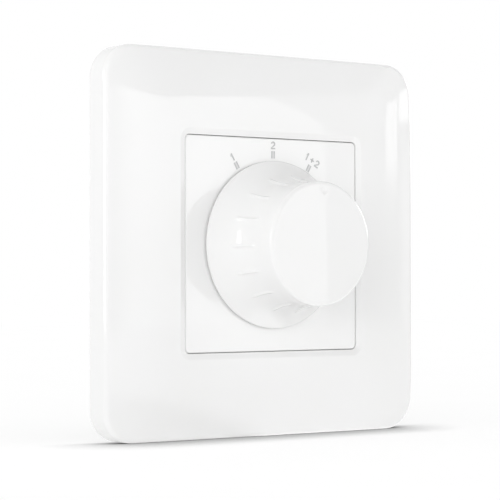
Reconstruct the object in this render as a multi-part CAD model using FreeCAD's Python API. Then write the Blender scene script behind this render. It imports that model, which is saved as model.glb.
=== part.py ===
import FreeCAD, Part
import math
import os

# Rotary speaker selector for a wall box, in millimetres.
# Origin: on the knob's axis, in the wall plane. -Y points out of the wall, +X right, +Z up.
# The axis, the window and the slots share one centre. Angles run from +X towards +Z.

# ---------------------------------------------------------------- driving dimensions
running_gap = 0.05          # radial clearance of a shaft in its bearing
fit_gap = 0.05              # clearance of a pressed or keyed piece
play_gap = 0.3              # clearance between pieces that only lie beside each other
through = 1.0               # how far a cutting body runs past the face it opens

# centre plate
plate_size = 44.8           # a centre plate of the 45 mm size, less its room in the window
plate_corner = 1.0
plate_wall = 2.0
plate_skirt = 3.69          # from the face to the back of the skirt
plate_skirt_wall = 1.5
plate_edge_round = 0.35

# cover frame
frame_size = 80.7
frame_corner = 6.7
frame_front = 8.5           # height of the front over the wall, beside the window
frame_drop = 2.3            # how far the front falls back at the outer edge
frame_flat = 1.7            # flat strip outside the bevel
frame_edge_round = 1.3
frame_wall = 1.8
window_gap = 0.1
collar_wall = 1.6
lip_wall = 1.2
bevel_width = 1.3
bevel_fall = 0.4
plate_sink = 0.41           # the centre plate lies this far behind the frame's front

# dial
mark_height = 0.05
dial_margin = 4.8           # from the knob's rim to the plate's edge
bar_gap = 0.6
bar_length = 1.55
bar_width = 0.9
label_gap = 0.4
label_edge = 0.6
label_shape = 0.68          # width of a figure over its height
label_stroke = 0.3
label_pitch = 1.5

# knob
knob_turn = 4.0             # clockwise lead of the index dimple over the middle mark, degrees
knob_lift = 0.4             # gap between the centre plate and the knob's rim
knob_rim_height = 0.5
knob_front_radius = 12.8
knob_length = 16.5          # from the centre plate's face to the knob's front
knob_front_wall = 2.0
flare_height = 12.3         # height over which the rim narrows to the front
flare_power = 2.75
knob_front_round = 0.8
knob_wall = 1.8
rib_count = 15
rib_width = 0.6
rib_rise = 0.25
rib_start = 4.8             # height above the centre plate where a rib begins
rib_end = 11.1
rib_ramp = 0.8
dimple_radius = 0.9
dimple_inset = 1.9          # from the edge of the front to the dimple's middle
dimple_depth = 0.25
boss_wall = 2.5
web_count = 4
web_wall = 1.2
web_setback = 0.3
clip_wall = 0.4
clip_width = 3.6
clip_length = 7.5
clip_setback = 0.5

# steel support frame
support_margin = 3.05       # gap between the cover frame's wall and the support frame
support_corner = 4.0
support_wall = 1.2
slot_spacing = 60.0         # standard spacing of the screws of a wall box
slot_length = 7.0
slot_width = 3.6
lug_width = 8.0
lug_height = 2.4

# bushing, nuts and washers
thread_radius = 4.5
thread_rest = 0.41          # thread that stands out of the plate nut
bushing_flange = 1.5
key_radius = 1.0
key_margin = 0.6            # from the lock washer to the key
nut_rim = 1.5               # from the thread to the nut's flats
nut_wall = 2.4
lock_washer_rim = 2.5
lock_washer_wall = 0.5
lock_washer_teeth = 8
tooth_depth = 1.3
tooth_slot = 0.8
plate_washer_rim = 3.0
plate_washer_wall = 0.5
plate_nut_rim = 2.1
plate_nut_wall = 2.0
plate_nut_slot = 1.4

# shaft
shaft_radius = 3.0
shaft_flat_depth = 1.4      # the knob's flat, from the shaft's surface
drive_flat_depth = 0.8      # the rotor's flat
collar_rise = 2.0
collar_width = 1.0
pilot_radius = 1.5
pilot_length = 2.2
ring_wall = 0.6
ring_depth = 0.5            # depth of a retaining ring's groove
ring_width = 1.4
ring_play = 0.2             # end play of the shaft in the bushing
ring_clear = 0.5            # gap between the front retaining ring and the knob's boss
ring_mouth = 100.0          # opening of a retaining ring, degrees

# rotary switch
housing_radius = 13.5
housing_wall = 1.9
stator_wall = 2.0
ear_out = 1.2               # from the housing's surface to the middle of a rivet
ear_radius = 2.3
ear_angles = (45.0, 225.0)
rivet_radius = 0.9
rivet_head = 1.7
rivet_head_wall = 0.7
step_angle = 30.0           # between two positions
positions = 3
poles = 4
wheel_margin = 4.2          # from the middle of the wheel's waves to the housing's wall
wheel_wave = 0.5
wheel_wall = 2.0
spring_wall = 0.3
spring_width = 1.6
spring_clear = 0.5          # from the wheel's highest point to the straight of the spring
spring_nose = 0.55
spring_seat = 2.4
arm_wall = 1.0
arm_width = 2.6
stop_ring_band = 0.95
stop_ring_wall = 1.0
stop_tab_reach = 2.0
stop_tab_angle = 9.0
stop_slack = 1.5
rotor_hub_wall = 1.6
rotor_hub_length = 1.2
rotor_gap = 0.6
rotor_wall = 3.4
way_inset = 1.4             # from the rotor's rim to the middle of the ways
common_margin = 1.1         # from the rear retaining ring to the middle of the commons
common_width = 1.6
common_angle = 72.0
contact_head = 1.0
contact_wall = 0.4
contact_gap = 0.1
blade_wall = 0.8
blade_over = 0.8            # how far a blade reaches past the middle of its contacts
blade_width = 1.8
blade_stud = 0.5
coil_radius = 1.05
coil_wire = 0.15
coil_turns = 4.0
coil_room = 2.0             # length of the pocket in front of the blade
pin_radius = 0.5
pin_tail = 1.2

# circuit board and terminals
rivet_clear = 0.5           # from the rivets to the circuit board
board_corner = 2.0
board_wall = 1.6
board_side = 1.9            # from the bottom block, or the switch's pins, to the side blocks
board_top = 0.9             # from the side blocks' ends, or the pins, to the bottom block
hole_slack = 0.15
spacer_inset = 4.2
spacer_flats = 5.0
screw_radius = 1.25
screw_length = 5.0
screw_head = 2.3
screw_head_wall = 1.6
screw_head_round = 0.8
countersink = 2.4
terminal_pitch = 5.0
terminal_poles = 4
block_width = 7.8
block_end = 0.3
chamber_rib = 1.1           # wall between two chambers
chamber_deep = 5.0
chamber_base = 1.0
chamber_height = 5.6
entry_margin = 0.25         # from the chamber's side to the wire entry's side
entry_high = 3.4
well_slack = 0.15
well_rest = 1.3             # from the screw's head to the block's face
clamp_wall = 0.6
clamp_gap = 0.1
terminal_screw_radius = 1.25
terminal_screw_head = 1.6
terminal_screw_head_wall = 1.5
driver_slot = 0.5
driver_slot_depth = 0.6
solder_radius = 1.0
solder_tip = 0.65
solder_height = 0.8

# ---------------------------------------------------------------- places worked out from them
plate_half = plate_size / 2
plate_inner = plate_half - plate_skirt_wall
window_half = plate_half + window_gap
collar_half = window_half + collar_wall
flat_half = window_half + bevel_width + frame_flat
frame_half = frame_size / 2
plate_face = plate_sink - frame_front
plate_back = plate_face + plate_wall
lip_front = plate_face + plate_skirt
support_face = -support_wall
support_half = frame_half - frame_wall - support_margin

lock_washer_front = support_face - lock_washer_wall
nut_front = lock_washer_front - nut_wall
plate_washer_front = plate_face - plate_washer_wall
plate_nut_front = plate_washer_front - plate_nut_wall
bushing_front = plate_nut_front - thread_rest
lock_washer_radius = thread_radius + lock_washer_rim
key_place = lock_washer_radius + key_margin + key_radius

ring_groove = shaft_radius - ring_depth
ring_reach = ring_groove + ring_width
shaft_flat = shaft_radius - shaft_flat_depth
drive_flat = shaft_radius - drive_flat_depth
front_ring_back = bushing_front - ring_play
front_ring_front = front_ring_back - ring_wall
boss_back = front_ring_front - ring_clear
boss_radius = shaft_radius + boss_wall
dimple_place = knob_front_radius - dimple_inset
knob_rim_radius = plate_half - dial_margin
knob_rim_back = plate_face - knob_lift
knob_face = plate_face - knob_length
knob_inside = knob_face + knob_front_wall
shaft_tip = knob_inside + play_gap

bar_inner = knob_rim_radius + bar_gap
bar_outer = bar_inner + bar_length
label_height = plate_half - label_edge - bar_outer - label_gap
label_radius = bar_outer + label_gap + label_height / 2
label_width = label_height * label_shape

housing_front = bushing_flange
housing_inner = housing_radius - housing_wall
collar_front = housing_front + ring_play
wheel_front = collar_front + collar_width
arm_front = wheel_front + wheel_wall
rotor_front = arm_front + arm_wall
rotor_disc_front = rotor_front + rotor_hub_length
rotor_back = rotor_disc_front + rotor_wall
rear_ring_back = rotor_back - ring_play
rear_ring_front = rear_ring_back - ring_wall
contact_face = rotor_back + play_gap
housing_back = contact_face + contact_wall
stator_back = housing_back + stator_wall
pilot_back = rotor_back + pilot_length
blade_back = contact_face - contact_gap
blade_front = blade_back - blade_wall
coil_front = blade_front - coil_room

ear_place = housing_radius + ear_out
rotor_hub = shaft_radius + rotor_hub_wall
rotor_radius = housing_inner - rotor_gap
way_radius = rotor_radius - way_inset
common_radius = ring_reach + common_margin
blade_inner = common_radius - blade_over
blade_outer = way_radius + blade_over
coil_place = (common_radius + way_radius) / 2
wheel_radius = housing_inner - wheel_margin
coil_pocket = coil_radius + coil_wire + fit_gap * 4
stop_ring_inner = housing_inner - fit_gap - stop_ring_band
stop_tab_inner = stop_ring_inner - stop_tab_reach
arm_reach = stop_ring_inner - play_gap
spring_level = wheel_radius + wheel_wave + spring_clear
spring_top = spring_level + spring_wall
spring_reach = math.sqrt(housing_inner ** 2 - spring_top ** 2) - 2 * fit_gap

board_front = stator_back + rivet_head_wall + rivet_clear
board_back = board_front + board_wall
block_length = terminal_pitch * terminal_poles + 2 * block_end
block_floor = board_back + chamber_base
chamber_top = block_floor + chamber_height
block_back = chamber_top + terminal_screw_head_wall + well_rest
way_lean = 180 / poles - step_angle * (positions - 1) / 2
pin_reach = way_radius * math.cos(math.radians(way_lean)) + solder_radius
block_reach = max(block_length / 2, pin_reach)
board_width = 2 * (block_reach + board_side + block_width)
board_height = 2 * (block_reach + board_top + block_width)
block_place_x = (board_width - block_width) / 2
block_place_z = (board_height - block_width) / 2
spacer_x = board_width / 2 - spacer_inset
spacer_z = board_height / 2 - spacer_inset
chamber_wide = terminal_pitch - chamber_rib
entry_wide = chamber_wide - 2 * entry_margin
screw_well = terminal_screw_head + well_slack

AXIS = FreeCAD.Vector(0, 1, 0)
ORIGIN = FreeCAD.Vector(0, 0, 0)


# ---------------------------------------------------------------- helpers
def vec(x, y, z):
    return FreeCAD.Vector(x, y, z)


def rod(radius, y0, y1, x=0.0, z=0.0):
    """A round bar along Y from y0 to y1."""
    low = min(y0, y1)
    return Part.makeCylinder(radius, abs(y1 - y0), vec(x, low, z), AXIS)


def ring(outer, inner, y0, y1, x=0.0, z=0.0):
    return rod(outer, y0, y1, x, z).cut(rod(inner, min(y0, y1) - through, max(y0, y1) + through, x, z))


def block(x0, x1, y0, y1, z0, z1):
    return Part.makeBox(x1 - x0, y1 - y0, z1 - z0, vec(x0, y0, z0))


def turn(shape, degrees):
    """Turned about the knob's axis, positive from +X towards +Z."""
    copy = shape.copy()
    copy.rotate(ORIGIN, AXIS, -degrees)
    return copy


def polar(radius, degrees):
    return radius * math.cos(math.radians(degrees)), radius * math.sin(math.radians(degrees))


def square_wire(half_x, half_z, corner, y):
    """A rectangle with round corners, standing in the plane at y."""
    sx = half_x - corner
    sz = half_z - corner
    edges = []
    starts = [(sx, sz, 0), (-sx, sz, 90), (-sx, -sz, 180), (sx, -sz, 270)]
    for number, (cx, cz, angle) in enumerate(starts):
        first = polar(corner, angle)
        middle = polar(corner, angle + 45)
        last = polar(corner, angle + 90)
        a = vec(cx + first[0], y, cz + first[1])
        b = vec(cx + middle[0], y, cz + middle[1])
        c = vec(cx + last[0], y, cz + last[1])
        edges.append(Part.Arc(a, b, c).toShape())
        nx, nz, next_angle = starts[(number + 1) % 4]
        d = polar(corner, next_angle)
        edges.append(Part.LineSegment(c, vec(nx + d[0], y, nz + d[1])).toShape())
    return Part.Wire(edges)


def slab(half_x, half_z, corner, y0, y1):
    """A plate with round corners, from y0 to y1."""
    if corner <= 0:
        return block(-half_x, half_x, y0, y1, -half_z, half_z)
    return Part.Face(square_wire(half_x, half_z, corner, y0)).extrude(vec(0, y1 - y0, 0))


def sheet(points, y0, y1):
    """A flat outline of (x, z) points, thick from y0 to y1."""
    corners = [vec(x, y0, z) for x, z in points]
    return Part.Face(Part.makePolygon(corners + corners[:1])).extrude(vec(0, y1 - y0, 0))


def sector(outer, inner, middle, width, y0, y1):
    """A piece of a ring, width degrees wide about the angle middle."""
    half = width / 2
    angles = (middle - half, middle, middle + half)
    a, b, c = [polar(outer, t) for t in angles]
    d, e, f = [polar(inner, t) for t in reversed(angles)]
    place = [vec(x, y0, z) for x, z in (a, b, c, d, e, f)]
    edges = [
        Part.Arc(place[0], place[1], place[2]).toShape(),
        Part.LineSegment(place[2], place[3]).toShape(),
        Part.Arc(place[3], place[4], place[5]).toShape(),
        Part.LineSegment(place[5], place[0]).toShape(),
    ]
    return Part.Face(Part.Wire(edges)).extrude(vec(0, y1 - y0, 0))


def d_bar(radius, flat, y0, y1, up):
    """A bar with a flat at the given distance from the axis, on the upper or the lower side."""
    reach = radius + through
    low = flat if up else -reach
    high = reach if up else -flat
    cutter = block(-reach, reach, y0 - through, y1 + through, low, high)
    return rod(radius, y0, y1).cut(cutter)


def hexagon(across_flats, y0, y1, x=0.0, z=0.0):
    reach = across_flats / 2 / math.cos(math.radians(30))
    points = [polar(reach, 60 * n + 30) for n in range(6)]
    return sheet([(x + px, z + pz) for px, pz in points], y0, y1)


def save(name, shape):
    shape.exportStep("parts/" + name + ".step")


def group(shapes):
    return Part.makeCompound(shapes)


def board_places():
    return [(sx * spacer_x, sz * spacer_z) for sx in (-1, 1) for sz in (-1, 1)]


# ---------------------------------------------------------------- cover frame
def frame_height(x, z):
    """Height of the domed front: flat beside the window, falling back towards the outline."""
    span = frame_half - flat_half
    across = max(0.0, abs(x) - flat_half) / span
    upward = max(0.0, abs(z) - flat_half) / span
    return frame_front - frame_drop * (across ** 3 + upward ** 3) ** (2 / 3)


def frame_dome(setback):
    """Everything behind the domed front, moved back by setback, to well behind the wall plane."""
    reach = frame_half + through
    steps = 28
    rows = []
    for i in range(steps + 1):
        x = -reach + 2 * reach * i / steps
        rows.append([])
        for j in range(steps + 1):
            z = -reach + 2 * reach * j / steps
            rows[-1].append(vec(x, setback - frame_height(x, z), z))
    surface = Part.BSplineSurface()
    surface.interpolate(rows)
    face = surface.toShape()
    return face.extrude(vec(0, 2 * frame_front, 0))


def window(half, y0, y1):
    """A cutter for the frame's window, with the corners of the centre plate."""
    return slab(half, half, plate_corner + half - plate_half, y0, y1)


def cover_frame():
    ahead = -frame_front - through
    outer = slab(frame_half, frame_half, frame_corner, ahead, 0).common(frame_dome(0))
    front = [e for e in outer.Edges if e.BoundBox.YMax < support_face]
    outer = outer.makeFillet(frame_edge_round, front)
    inner_half = frame_half - frame_wall
    hollow = slab(inner_half, inner_half, frame_corner - frame_wall, -frame_front, through)
    hollow = hollow.common(frame_dome(frame_wall))
    hollow = hollow.cut(window(collar_half, ahead, support_face - play_gap))
    body = outer.cut(hollow)
    body = body.cut(window(window_half, ahead, lip_front))
    body = body.cut(slab(plate_inner, plate_inner, plate_corner, ahead, through))
    body = body.cut(window(window_half, lip_front + lip_wall, through))
    wide = window_half + bevel_width
    bevel_front = square_wire(wide, wide, plate_corner + window_gap + bevel_width, -frame_front)
    bevel_back = square_wire(window_half, window_half, plate_corner + window_gap, bevel_fall - frame_front)
    return body.cut(Part.makeLoft([bevel_front, bevel_back], True, True))


# ---------------------------------------------------------------- centre plate and dial
def centre_plate():
    shell = slab(plate_half, plate_half, plate_corner, plate_face, lip_front)
    rim = [e for e in shell.Edges if e.BoundBox.YMax < plate_back]
    shell = shell.makeFillet(plate_edge_round, rim)
    shell = shell.cut(slab(plate_inner, plate_inner, plate_corner, plate_back, lip_front + through))
    return shell.cut(rod(thread_radius + play_gap, plate_face - through, plate_back + through))


def bar(x0, x1, z0, z1):
    return [(x0, z0), (x1, z0), (x1, z1), (x0, z1)]


def figure_one(x):
    """The figure 1 about the middle x, as strokes."""
    half = label_stroke / 2
    foot = label_radius - label_height / 2
    top = label_radius + label_height / 2
    flag_x = x - label_width / 3
    flag_z = top - label_height / 4
    below = flag_z - label_stroke
    flag = [(x - half, top), (x - half, top - label_stroke), (flag_x, below), (flag_x, flag_z)]
    return [bar(x - half, x + half, foot, top), flag]


def figure_two(x):
    """The figure 2: a bow as a piece of a ring, a slanting stroke and a foot."""
    half = label_width / 2
    foot = label_radius - label_height / 2
    level = foot + label_stroke
    bow_z = label_radius + label_height / 2 - half
    angles = [-35 + 205 * n / 12 for n in range(13)]
    outside = [polar(half, a) for a in angles]
    inside = [polar(half - label_stroke, a) for a in reversed(angles)]
    bow = [(x + dx, bow_z + dz) for dx, dz in outside + inside]
    slant = [bow[0], bow[-1], (x - half, level), (x - half + label_stroke, level)]
    return [bar(x - half, x + half, foot, level), bow, slant]


def figure_plus(x):
    half = label_stroke / 2
    reach = label_width / 2.2
    middle = label_radius
    flat = bar(x - reach, x + reach, middle - half, middle + half)
    return [flat, bar(x - half, x + half, middle - reach, middle + reach)]


def figure(strokes, angle):
    """Strokes joined to one printed figure, turned clockwise by angle to its place."""
    pieces = [sheet(points, plate_face - mark_height, plate_face) for points in strokes]
    joined = pieces[0].fuse(pieces[1:])
    return turn(joined.removeSplitter(), -angle)


def dial_marks():
    marks = []
    for number in range(positions):
        stroke = bar(-bar_width / 2, bar_width / 2, bar_inner, bar_outer)
        marks.append(figure([stroke, stroke], step_angle * (number - 1)))
    marks.append(figure(figure_one(0), -step_angle))
    marks.append(figure(figure_two(0), 0))
    marks.append(figure(figure_one(-label_pitch), step_angle))
    marks.append(figure(figure_plus(0), step_angle))
    marks.append(figure(figure_two(label_pitch), step_angle))
    return group(marks)


# ---------------------------------------------------------------- knob
def knob_radius(height):
    """Outside radius at a height above the centre plate: a rim, a flare and a straight front."""
    left = 1 - (height - knob_lift - knob_rim_height) / flare_height
    left = min(1.0, max(0.0, left))
    return knob_front_radius + (knob_rim_radius - knob_front_radius) * left ** flare_power


def knob_side(inset, first, last):
    """The side of the knob as a smooth line from one height to another, moved inwards by inset."""
    steps = 10
    points = []
    for n in range(steps + 1):
        height = first + (last - first) * n / steps
        points.append(vec(knob_radius(height) - inset, plate_face - height, 0))
    line = Part.BSplineCurve()
    line.interpolate(points)
    return line


def knob_solid(inset, top):
    """The knob's outline turned into a solid body, from its rim to the height top."""
    rim_top = knob_lift + knob_rim_height
    side = knob_side(inset, rim_top, top)
    rim = knob_rim_radius - inset
    top_radius = knob_radius(top) - inset
    back = knob_rim_back
    front = plate_face - top
    edges = [
        Part.LineSegment(vec(0, back, 0), vec(rim, back, 0)).toShape(),
        Part.LineSegment(vec(rim, back, 0), vec(rim, plate_face - rim_top, 0)).toShape(),
        side.toShape(),
        Part.LineSegment(vec(top_radius, front, 0), vec(0, front, 0)).toShape(),
        Part.LineSegment(vec(0, front, 0), vec(0, back, 0)).toShape(),
    ]
    return Part.Face(Part.Wire(edges)).revolve(ORIGIN, AXIS, 360)


def rib():
    """One raised rib, its root inside the knob's wall."""
    root = knob_wall / 2
    span = rib_end - rib_start
    heights = [rib_start + rib_ramp + (span - 2 * rib_ramp) * n / 4 for n in range(5)]
    foot = knob_radius(rib_start)
    head = knob_radius(rib_end)
    outline = [(foot - root, rib_start), (foot, rib_start)]
    outline += [(knob_radius(h) + rib_rise, h) for h in heights]
    outline += [(head, rib_end), (head - root, rib_end)]
    corners = [vec(r, plate_face - h, 0) for r, h in outline]
    face = Part.Face(Part.makePolygon(corners + corners[:1]))
    width = math.degrees(rib_width / head)
    return turn(face.revolve(ORIGIN, AXIS, width), width / 2)


def knob():
    body = knob_solid(0, knob_length)
    front = [e for e in body.Edges if e.Closed and e.BoundBox.YMax < knob_inside]
    body = body.makeFillet(knob_front_round, front)
    body = body.fuse([turn(rib(), 90 - 360 / rib_count * n) for n in range(rib_count)])
    cavity = knob_solid(knob_wall, plate_face - knob_inside)
    cavity = cavity.cut(rod(boss_radius, boss_back, knob_face))
    for n in range(web_count):
        web = block(0, knob_rim_radius, knob_face, boss_back - web_setback, -web_wall / 2, web_wall / 2)
        cavity = cavity.cut(turn(web, 360 / web_count * (n + 0.5)))
    body = body.cut(cavity)
    bore_flat = shaft_flat + clip_wall + 2 * fit_gap
    bore = d_bar(shaft_radius + fit_gap, bore_flat, knob_inside, boss_back + through, False)
    ball = (dimple_radius ** 2 + dimple_depth ** 2) / (2 * dimple_depth)
    dimple = Part.makeSphere(ball, vec(0, knob_face - ball + dimple_depth, dimple_place))
    return turn(body.cut(dimple), -knob_turn).cut(bore)


def knob_clip():
    """A spring strip between the shaft's flat and the knob's bore."""
    top = -shaft_flat - fit_gap
    back = shaft_tip + clip_setback + clip_length
    half = clip_width / 2
    return block(-half, half, shaft_tip + clip_setback, back, top - clip_wall, top)


# ---------------------------------------------------------------- shaft
def shaft():
    round_front = (boss_back + front_ring_front) / 2
    body = d_bar(shaft_radius, shaft_flat, shaft_tip, round_front, False)
    body = body.fuse([
        rod(shaft_radius, round_front, collar_front),
        rod(shaft_radius + collar_rise, collar_front, wheel_front),
        d_bar(shaft_radius, drive_flat, wheel_front, rotor_back, True),
        rod(pilot_radius, rotor_back, pilot_back),
    ]).removeSplitter()
    body = body.cut(groove(front_ring_front, front_ring_back))
    return body.cut(groove(rear_ring_front, rear_ring_back))


def groove(y0, y1):
    """A cutter exactly as wide as the groove."""
    return rod(shaft_radius + through, y0, y1).cut(rod(ring_groove, y0 - through, y1 + through))


def retaining_ring(front, middle):
    inner = ring_groove + running_gap / 2
    return sector(ring_reach, inner, middle, 360 - ring_mouth, front, front + ring_wall)


# ---------------------------------------------------------------- bushing, nuts, washers
def ears(y0, y1, hole):
    """Two ears for the tie rivets, and the holes to cut in them."""
    places = [polar(ear_place, angle) for angle in ear_angles]
    lobes = [rod(ear_radius, y0, y1, x, z) for x, z in places]
    holes = [rod(hole, y0 - through, y1 + through, x, z) for x, z in places]
    return lobes, holes


def mounting_bushing():
    lobes, holes = ears(0, bushing_flange, rivet_radius + fit_gap)
    flange = rod(housing_radius, 0, bushing_flange)
    key = rod(key_radius, support_face, 0, 0, -key_place)
    body = rod(thread_radius, bushing_front, 0).fuse([flange, key] + lobes).removeSplitter()
    heads = [rivet_cone(x, z, fit_gap) for x, z in (polar(ear_place, a) for a in ear_angles)]
    body = body.cut(group(holes + heads))
    return body.cut(rod(shaft_radius + running_gap, bushing_front - through, bushing_flange + through))


def rivet_cone(x, z, gap):
    """The countersunk front head of a tie rivet."""
    return Part.makeCone(rivet_head + gap, rivet_radius + gap, rivet_head_wall, vec(x, 0, z), AXIS)


def tie_rivets():
    rivets = []
    for angle in ear_angles:
        x, z = polar(ear_place, angle)
        head = rod(rivet_head, stator_back, stator_back + rivet_head_wall, x, z)
        rivet = rod(rivet_radius, 0, stator_back, x, z).fuse([rivet_cone(x, z, 0), head])
        rivets.append(rivet.removeSplitter())
    return group(rivets)


def lock_washer():
    body = ring(lock_washer_radius, thread_radius + fit_gap, lock_washer_front, support_face)
    half = tooth_slot / 2
    reach = thread_radius + tooth_depth
    cut = block(0, reach, lock_washer_front - through, support_face + through, -half, half)
    return body.cut([turn(cut, 360 / lock_washer_teeth * n) for n in range(lock_washer_teeth)])


def bushing_nut():
    flats = 2 * (thread_radius + nut_rim)
    body = hexagon(flats, nut_front, lock_washer_front)
    crown = Part.makeCone(flats / 2, flats / 2 + 2 * nut_wall, nut_wall, vec(0, nut_front, 0), AXIS)
    body = body.common(crown)
    return body.cut(rod(thread_radius + fit_gap, nut_front - through, lock_washer_front + through))


def plate_washer():
    return ring(thread_radius + plate_washer_rim, thread_radius + fit_gap, plate_washer_front, plate_face)


def plate_nut():
    reach = thread_radius + plate_nut_rim
    half = plate_nut_slot / 2
    body = ring(reach, thread_radius + fit_gap, plate_nut_front, plate_washer_front)
    slot_back = plate_nut_front + plate_nut_wall / 2
    reach += through
    return body.cut(block(-reach, reach, plate_nut_front - through, slot_back, -half, half))


# ---------------------------------------------------------------- support frame
def support_frame():
    body = slab(support_half, support_half, support_corner, support_face, 0)
    inside = collar_half + play_gap
    outside = inside + support_wall
    lug = block(-lug_width / 2, lug_width / 2, support_face - lug_height, support_face, inside, outside)
    body = body.fuse([turn(lug, 90 * n) for n in range(4)]).removeSplitter()
    ahead = support_face - through
    cuts = [rod(thread_radius + play_gap, ahead, through)]
    cuts.append(rod(key_radius + 2 * fit_gap, ahead, through, 0, -key_place))
    cuts += [turn(box_slot(ahead), 90 * n) for n in range(4)]
    cuts += [countersunk(x, z, fit_gap, through) for x, z in board_places()]
    return body.cut(cuts)


def box_slot(ahead):
    """A slot with round ends for a screw of the wall box."""
    radius = slot_width / 2
    run = slot_length / 2 - radius
    middle = slot_spacing / 2
    straight = block(middle - run, middle + run, ahead, through, -radius, radius)
    ends = [rod(radius, ahead, through, middle + side * run) for side in (-1, 1)]
    return straight.fuse(ends).removeSplitter()


def countersunk(x, z, gap, end):
    """A countersunk screw in the support frame, widened by gap, its tip at end."""
    cone = Part.makeCone(countersink + gap, screw_radius + gap, support_wall, vec(x, support_face, z), AXIS)
    return cone.fuse(rod(screw_radius + gap, support_face + support_wall / 2, end, x, z)).removeSplitter()


def cross(x, z, y0, y1):
    """A cross recess for a driver."""
    reach = screw_head - 2 * driver_slot
    flat = block(x - reach, x + reach, y0, y1, z - driver_slot / 2, z + driver_slot / 2)
    tall = block(x - driver_slot / 2, x + driver_slot / 2, y0, y1, z - reach, z + reach)
    return flat.fuse(tall)


def spacer_screws():
    screws = []
    for x, z in board_places():
        screw = countersunk(x, z, 0, support_face + screw_length)
        screws.append(screw.cut(cross(x, z, support_face - through, support_face + driver_slot_depth)))
    return group(screws)


def board_spacers():
    bore = screw_radius + fit_gap
    spacers = []
    for x, z in board_places():
        hole = rod(bore, -through, board_front + through, x, z)
        spacers.append(hexagon(spacer_flats, 0, board_front, x, z).cut(hole))
    return group(spacers)


def board_screws():
    screws = []
    for x, z in board_places():
        top = board_back + screw_head_wall
        head = rod(screw_head, board_back, top, x, z)
        rim = [e for e in head.Edges if e.Closed and e.BoundBox.YMin > (board_back + top) / 2]
        head = head.makeFillet(screw_head_round, rim)
        shank = rod(screw_radius, board_back - screw_length, board_back, x, z)
        screw = head.fuse(shank).removeSplitter()
        screws.append(screw.cut(cross(x, z, top - driver_slot_depth, top + through)))
    return group(screws)


# ---------------------------------------------------------------- rotary switch
def switch_housing():
    lobes, holes = ears(housing_front, housing_back, rivet_radius + fit_gap)
    body = rod(housing_radius, housing_front, housing_back).fuse(lobes).removeSplitter()
    chamber = rod(housing_inner, housing_front - through, housing_back + through)
    for side in (-1, 1):
        near = side * (spring_reach - spring_seat / 2)
        far = side * housing_radius
        low = spring_level - spring_seat / 2
        post = block(min(near, far), max(near, far), housing_front, arm_front, low, housing_radius)
        chamber = chamber.cut(post)
    reach = spring_reach + fit_gap
    low = spring_level - fit_gap
    slot = block(-reach, reach, housing_front - through, arm_front + through, low, spring_top + fit_gap)
    return body.cut(group(holes + [chamber.fuse(slot)]))


def detent_wheel():
    """A wheel with a wavy rim, one notch at each position and one at the top at rest."""
    count = round(360 / step_angle)
    points = []
    for n in range(count * 8):
        angle = 360 * n / (count * 8)
        radius = wheel_radius - wheel_wave * math.cos(math.radians(count * (angle - 90)))
        x, z = polar(radius, angle)
        points.append(vec(x, wheel_front, z))
    rim = Part.BSplineCurve()
    rim.interpolate(points, PeriodicFlag=True)
    body = Part.Face(Part.Wire(rim.toShape())).extrude(vec(0, wheel_wall, 0))
    return body.cut(drive_hole(wheel_front, arm_front))


def drive_hole(y0, y1):
    return d_bar(shaft_radius + fit_gap, drive_flat + fit_gap, y0 - through, y1 + through, True)


def detent_spring():
    """A leaf spring over the wheel, held at both ends, its nose in the wheel's notch."""
    nose_z = wheel_radius - wheel_wave + contact_gap + spring_nose
    thin = 1 - spring_wall / spring_nose
    nose = [polar(spring_nose, angle) for angle in range(225, 316, 15)]
    under = [(x, nose_z + z) for x, z in nose]
    over = [(x * thin, nose_z + z * thin) for x, z in nose]
    tip_x, tip_z = under[-1]
    knee = tip_x + spring_level - tip_z
    bend = spring_wall * math.tan(math.radians(22.5))
    lower = [(-spring_reach, spring_level), (-knee, spring_level)] + under
    lower += [(knee, spring_level), (spring_reach, spring_level)]
    upper = [(spring_reach, spring_top), (knee - bend, spring_top)] + over[::-1]
    upper += [(bend - knee, spring_top), (-spring_reach, spring_top)]
    middle = wheel_front + wheel_wall / 2
    return sheet(lower + upper, middle - spring_width / 2, middle + spring_width / 2)


def stop_arm():
    arm = block(-arm_width / 2, arm_width / 2, arm_front, rotor_front, -arm_reach, 0)
    body = rod(rotor_hub, arm_front, rotor_front).fuse(arm).removeSplitter()
    return body.cut(drive_hole(arm_front, rotor_front))


def stop_ring():
    """A ring whose two tabs end the arm's travel."""
    back = arm_front + stop_ring_wall
    body = ring(housing_inner - fit_gap, stop_ring_inner, arm_front, back)
    arm_half = math.degrees(math.asin(arm_width / 2 / stop_tab_inner))
    travel = step_angle * (positions - 1) / 2
    away = travel + arm_half + stop_slack + stop_tab_angle / 2
    inside = stop_ring_inner + stop_ring_band / 2
    angles = (270 - away, 270 + away)
    tabs = [sector(inside, stop_tab_inner, angle, stop_tab_angle, arm_front, back) for angle in angles]
    return body.fuse(tabs).removeSplitter()


def pole_angles():
    return [360 / poles * (n + 0.5) for n in range(poles)]


def rotor():
    body = rod(rotor_hub, rotor_front, rotor_disc_front)
    body = body.fuse(rod(rotor_radius, rotor_disc_front, rotor_back)).removeSplitter()
    cuts = [drive_hole(rotor_front, rotor_back)]
    behind = rotor_back + through
    cuts.append(rod(ring_reach + 2 * fit_gap, rear_ring_front, behind))
    half = blade_width / 2 + fit_gap
    slot = block(blade_inner - fit_gap, blade_outer + fit_gap, blade_front - fit_gap, behind, -half, half)
    pocket = slot.fuse(rod(coil_pocket, coil_front, behind, coil_place))
    cuts += [turn(pocket, angle) for angle in pole_angles()]
    return body.cut(cuts)


def moving_contacts():
    """One sliding blade for each pole, from the common to a way."""
    half = blade_width / 2
    blade = block(blade_inner, blade_outer, blade_front, blade_back, -half, half)
    blade = blade.fuse(rod(blade_stud, blade_front - blade_wall, blade_front, coil_place)).removeSplitter()
    return group([turn(blade, angle) for angle in pole_angles()])


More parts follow.
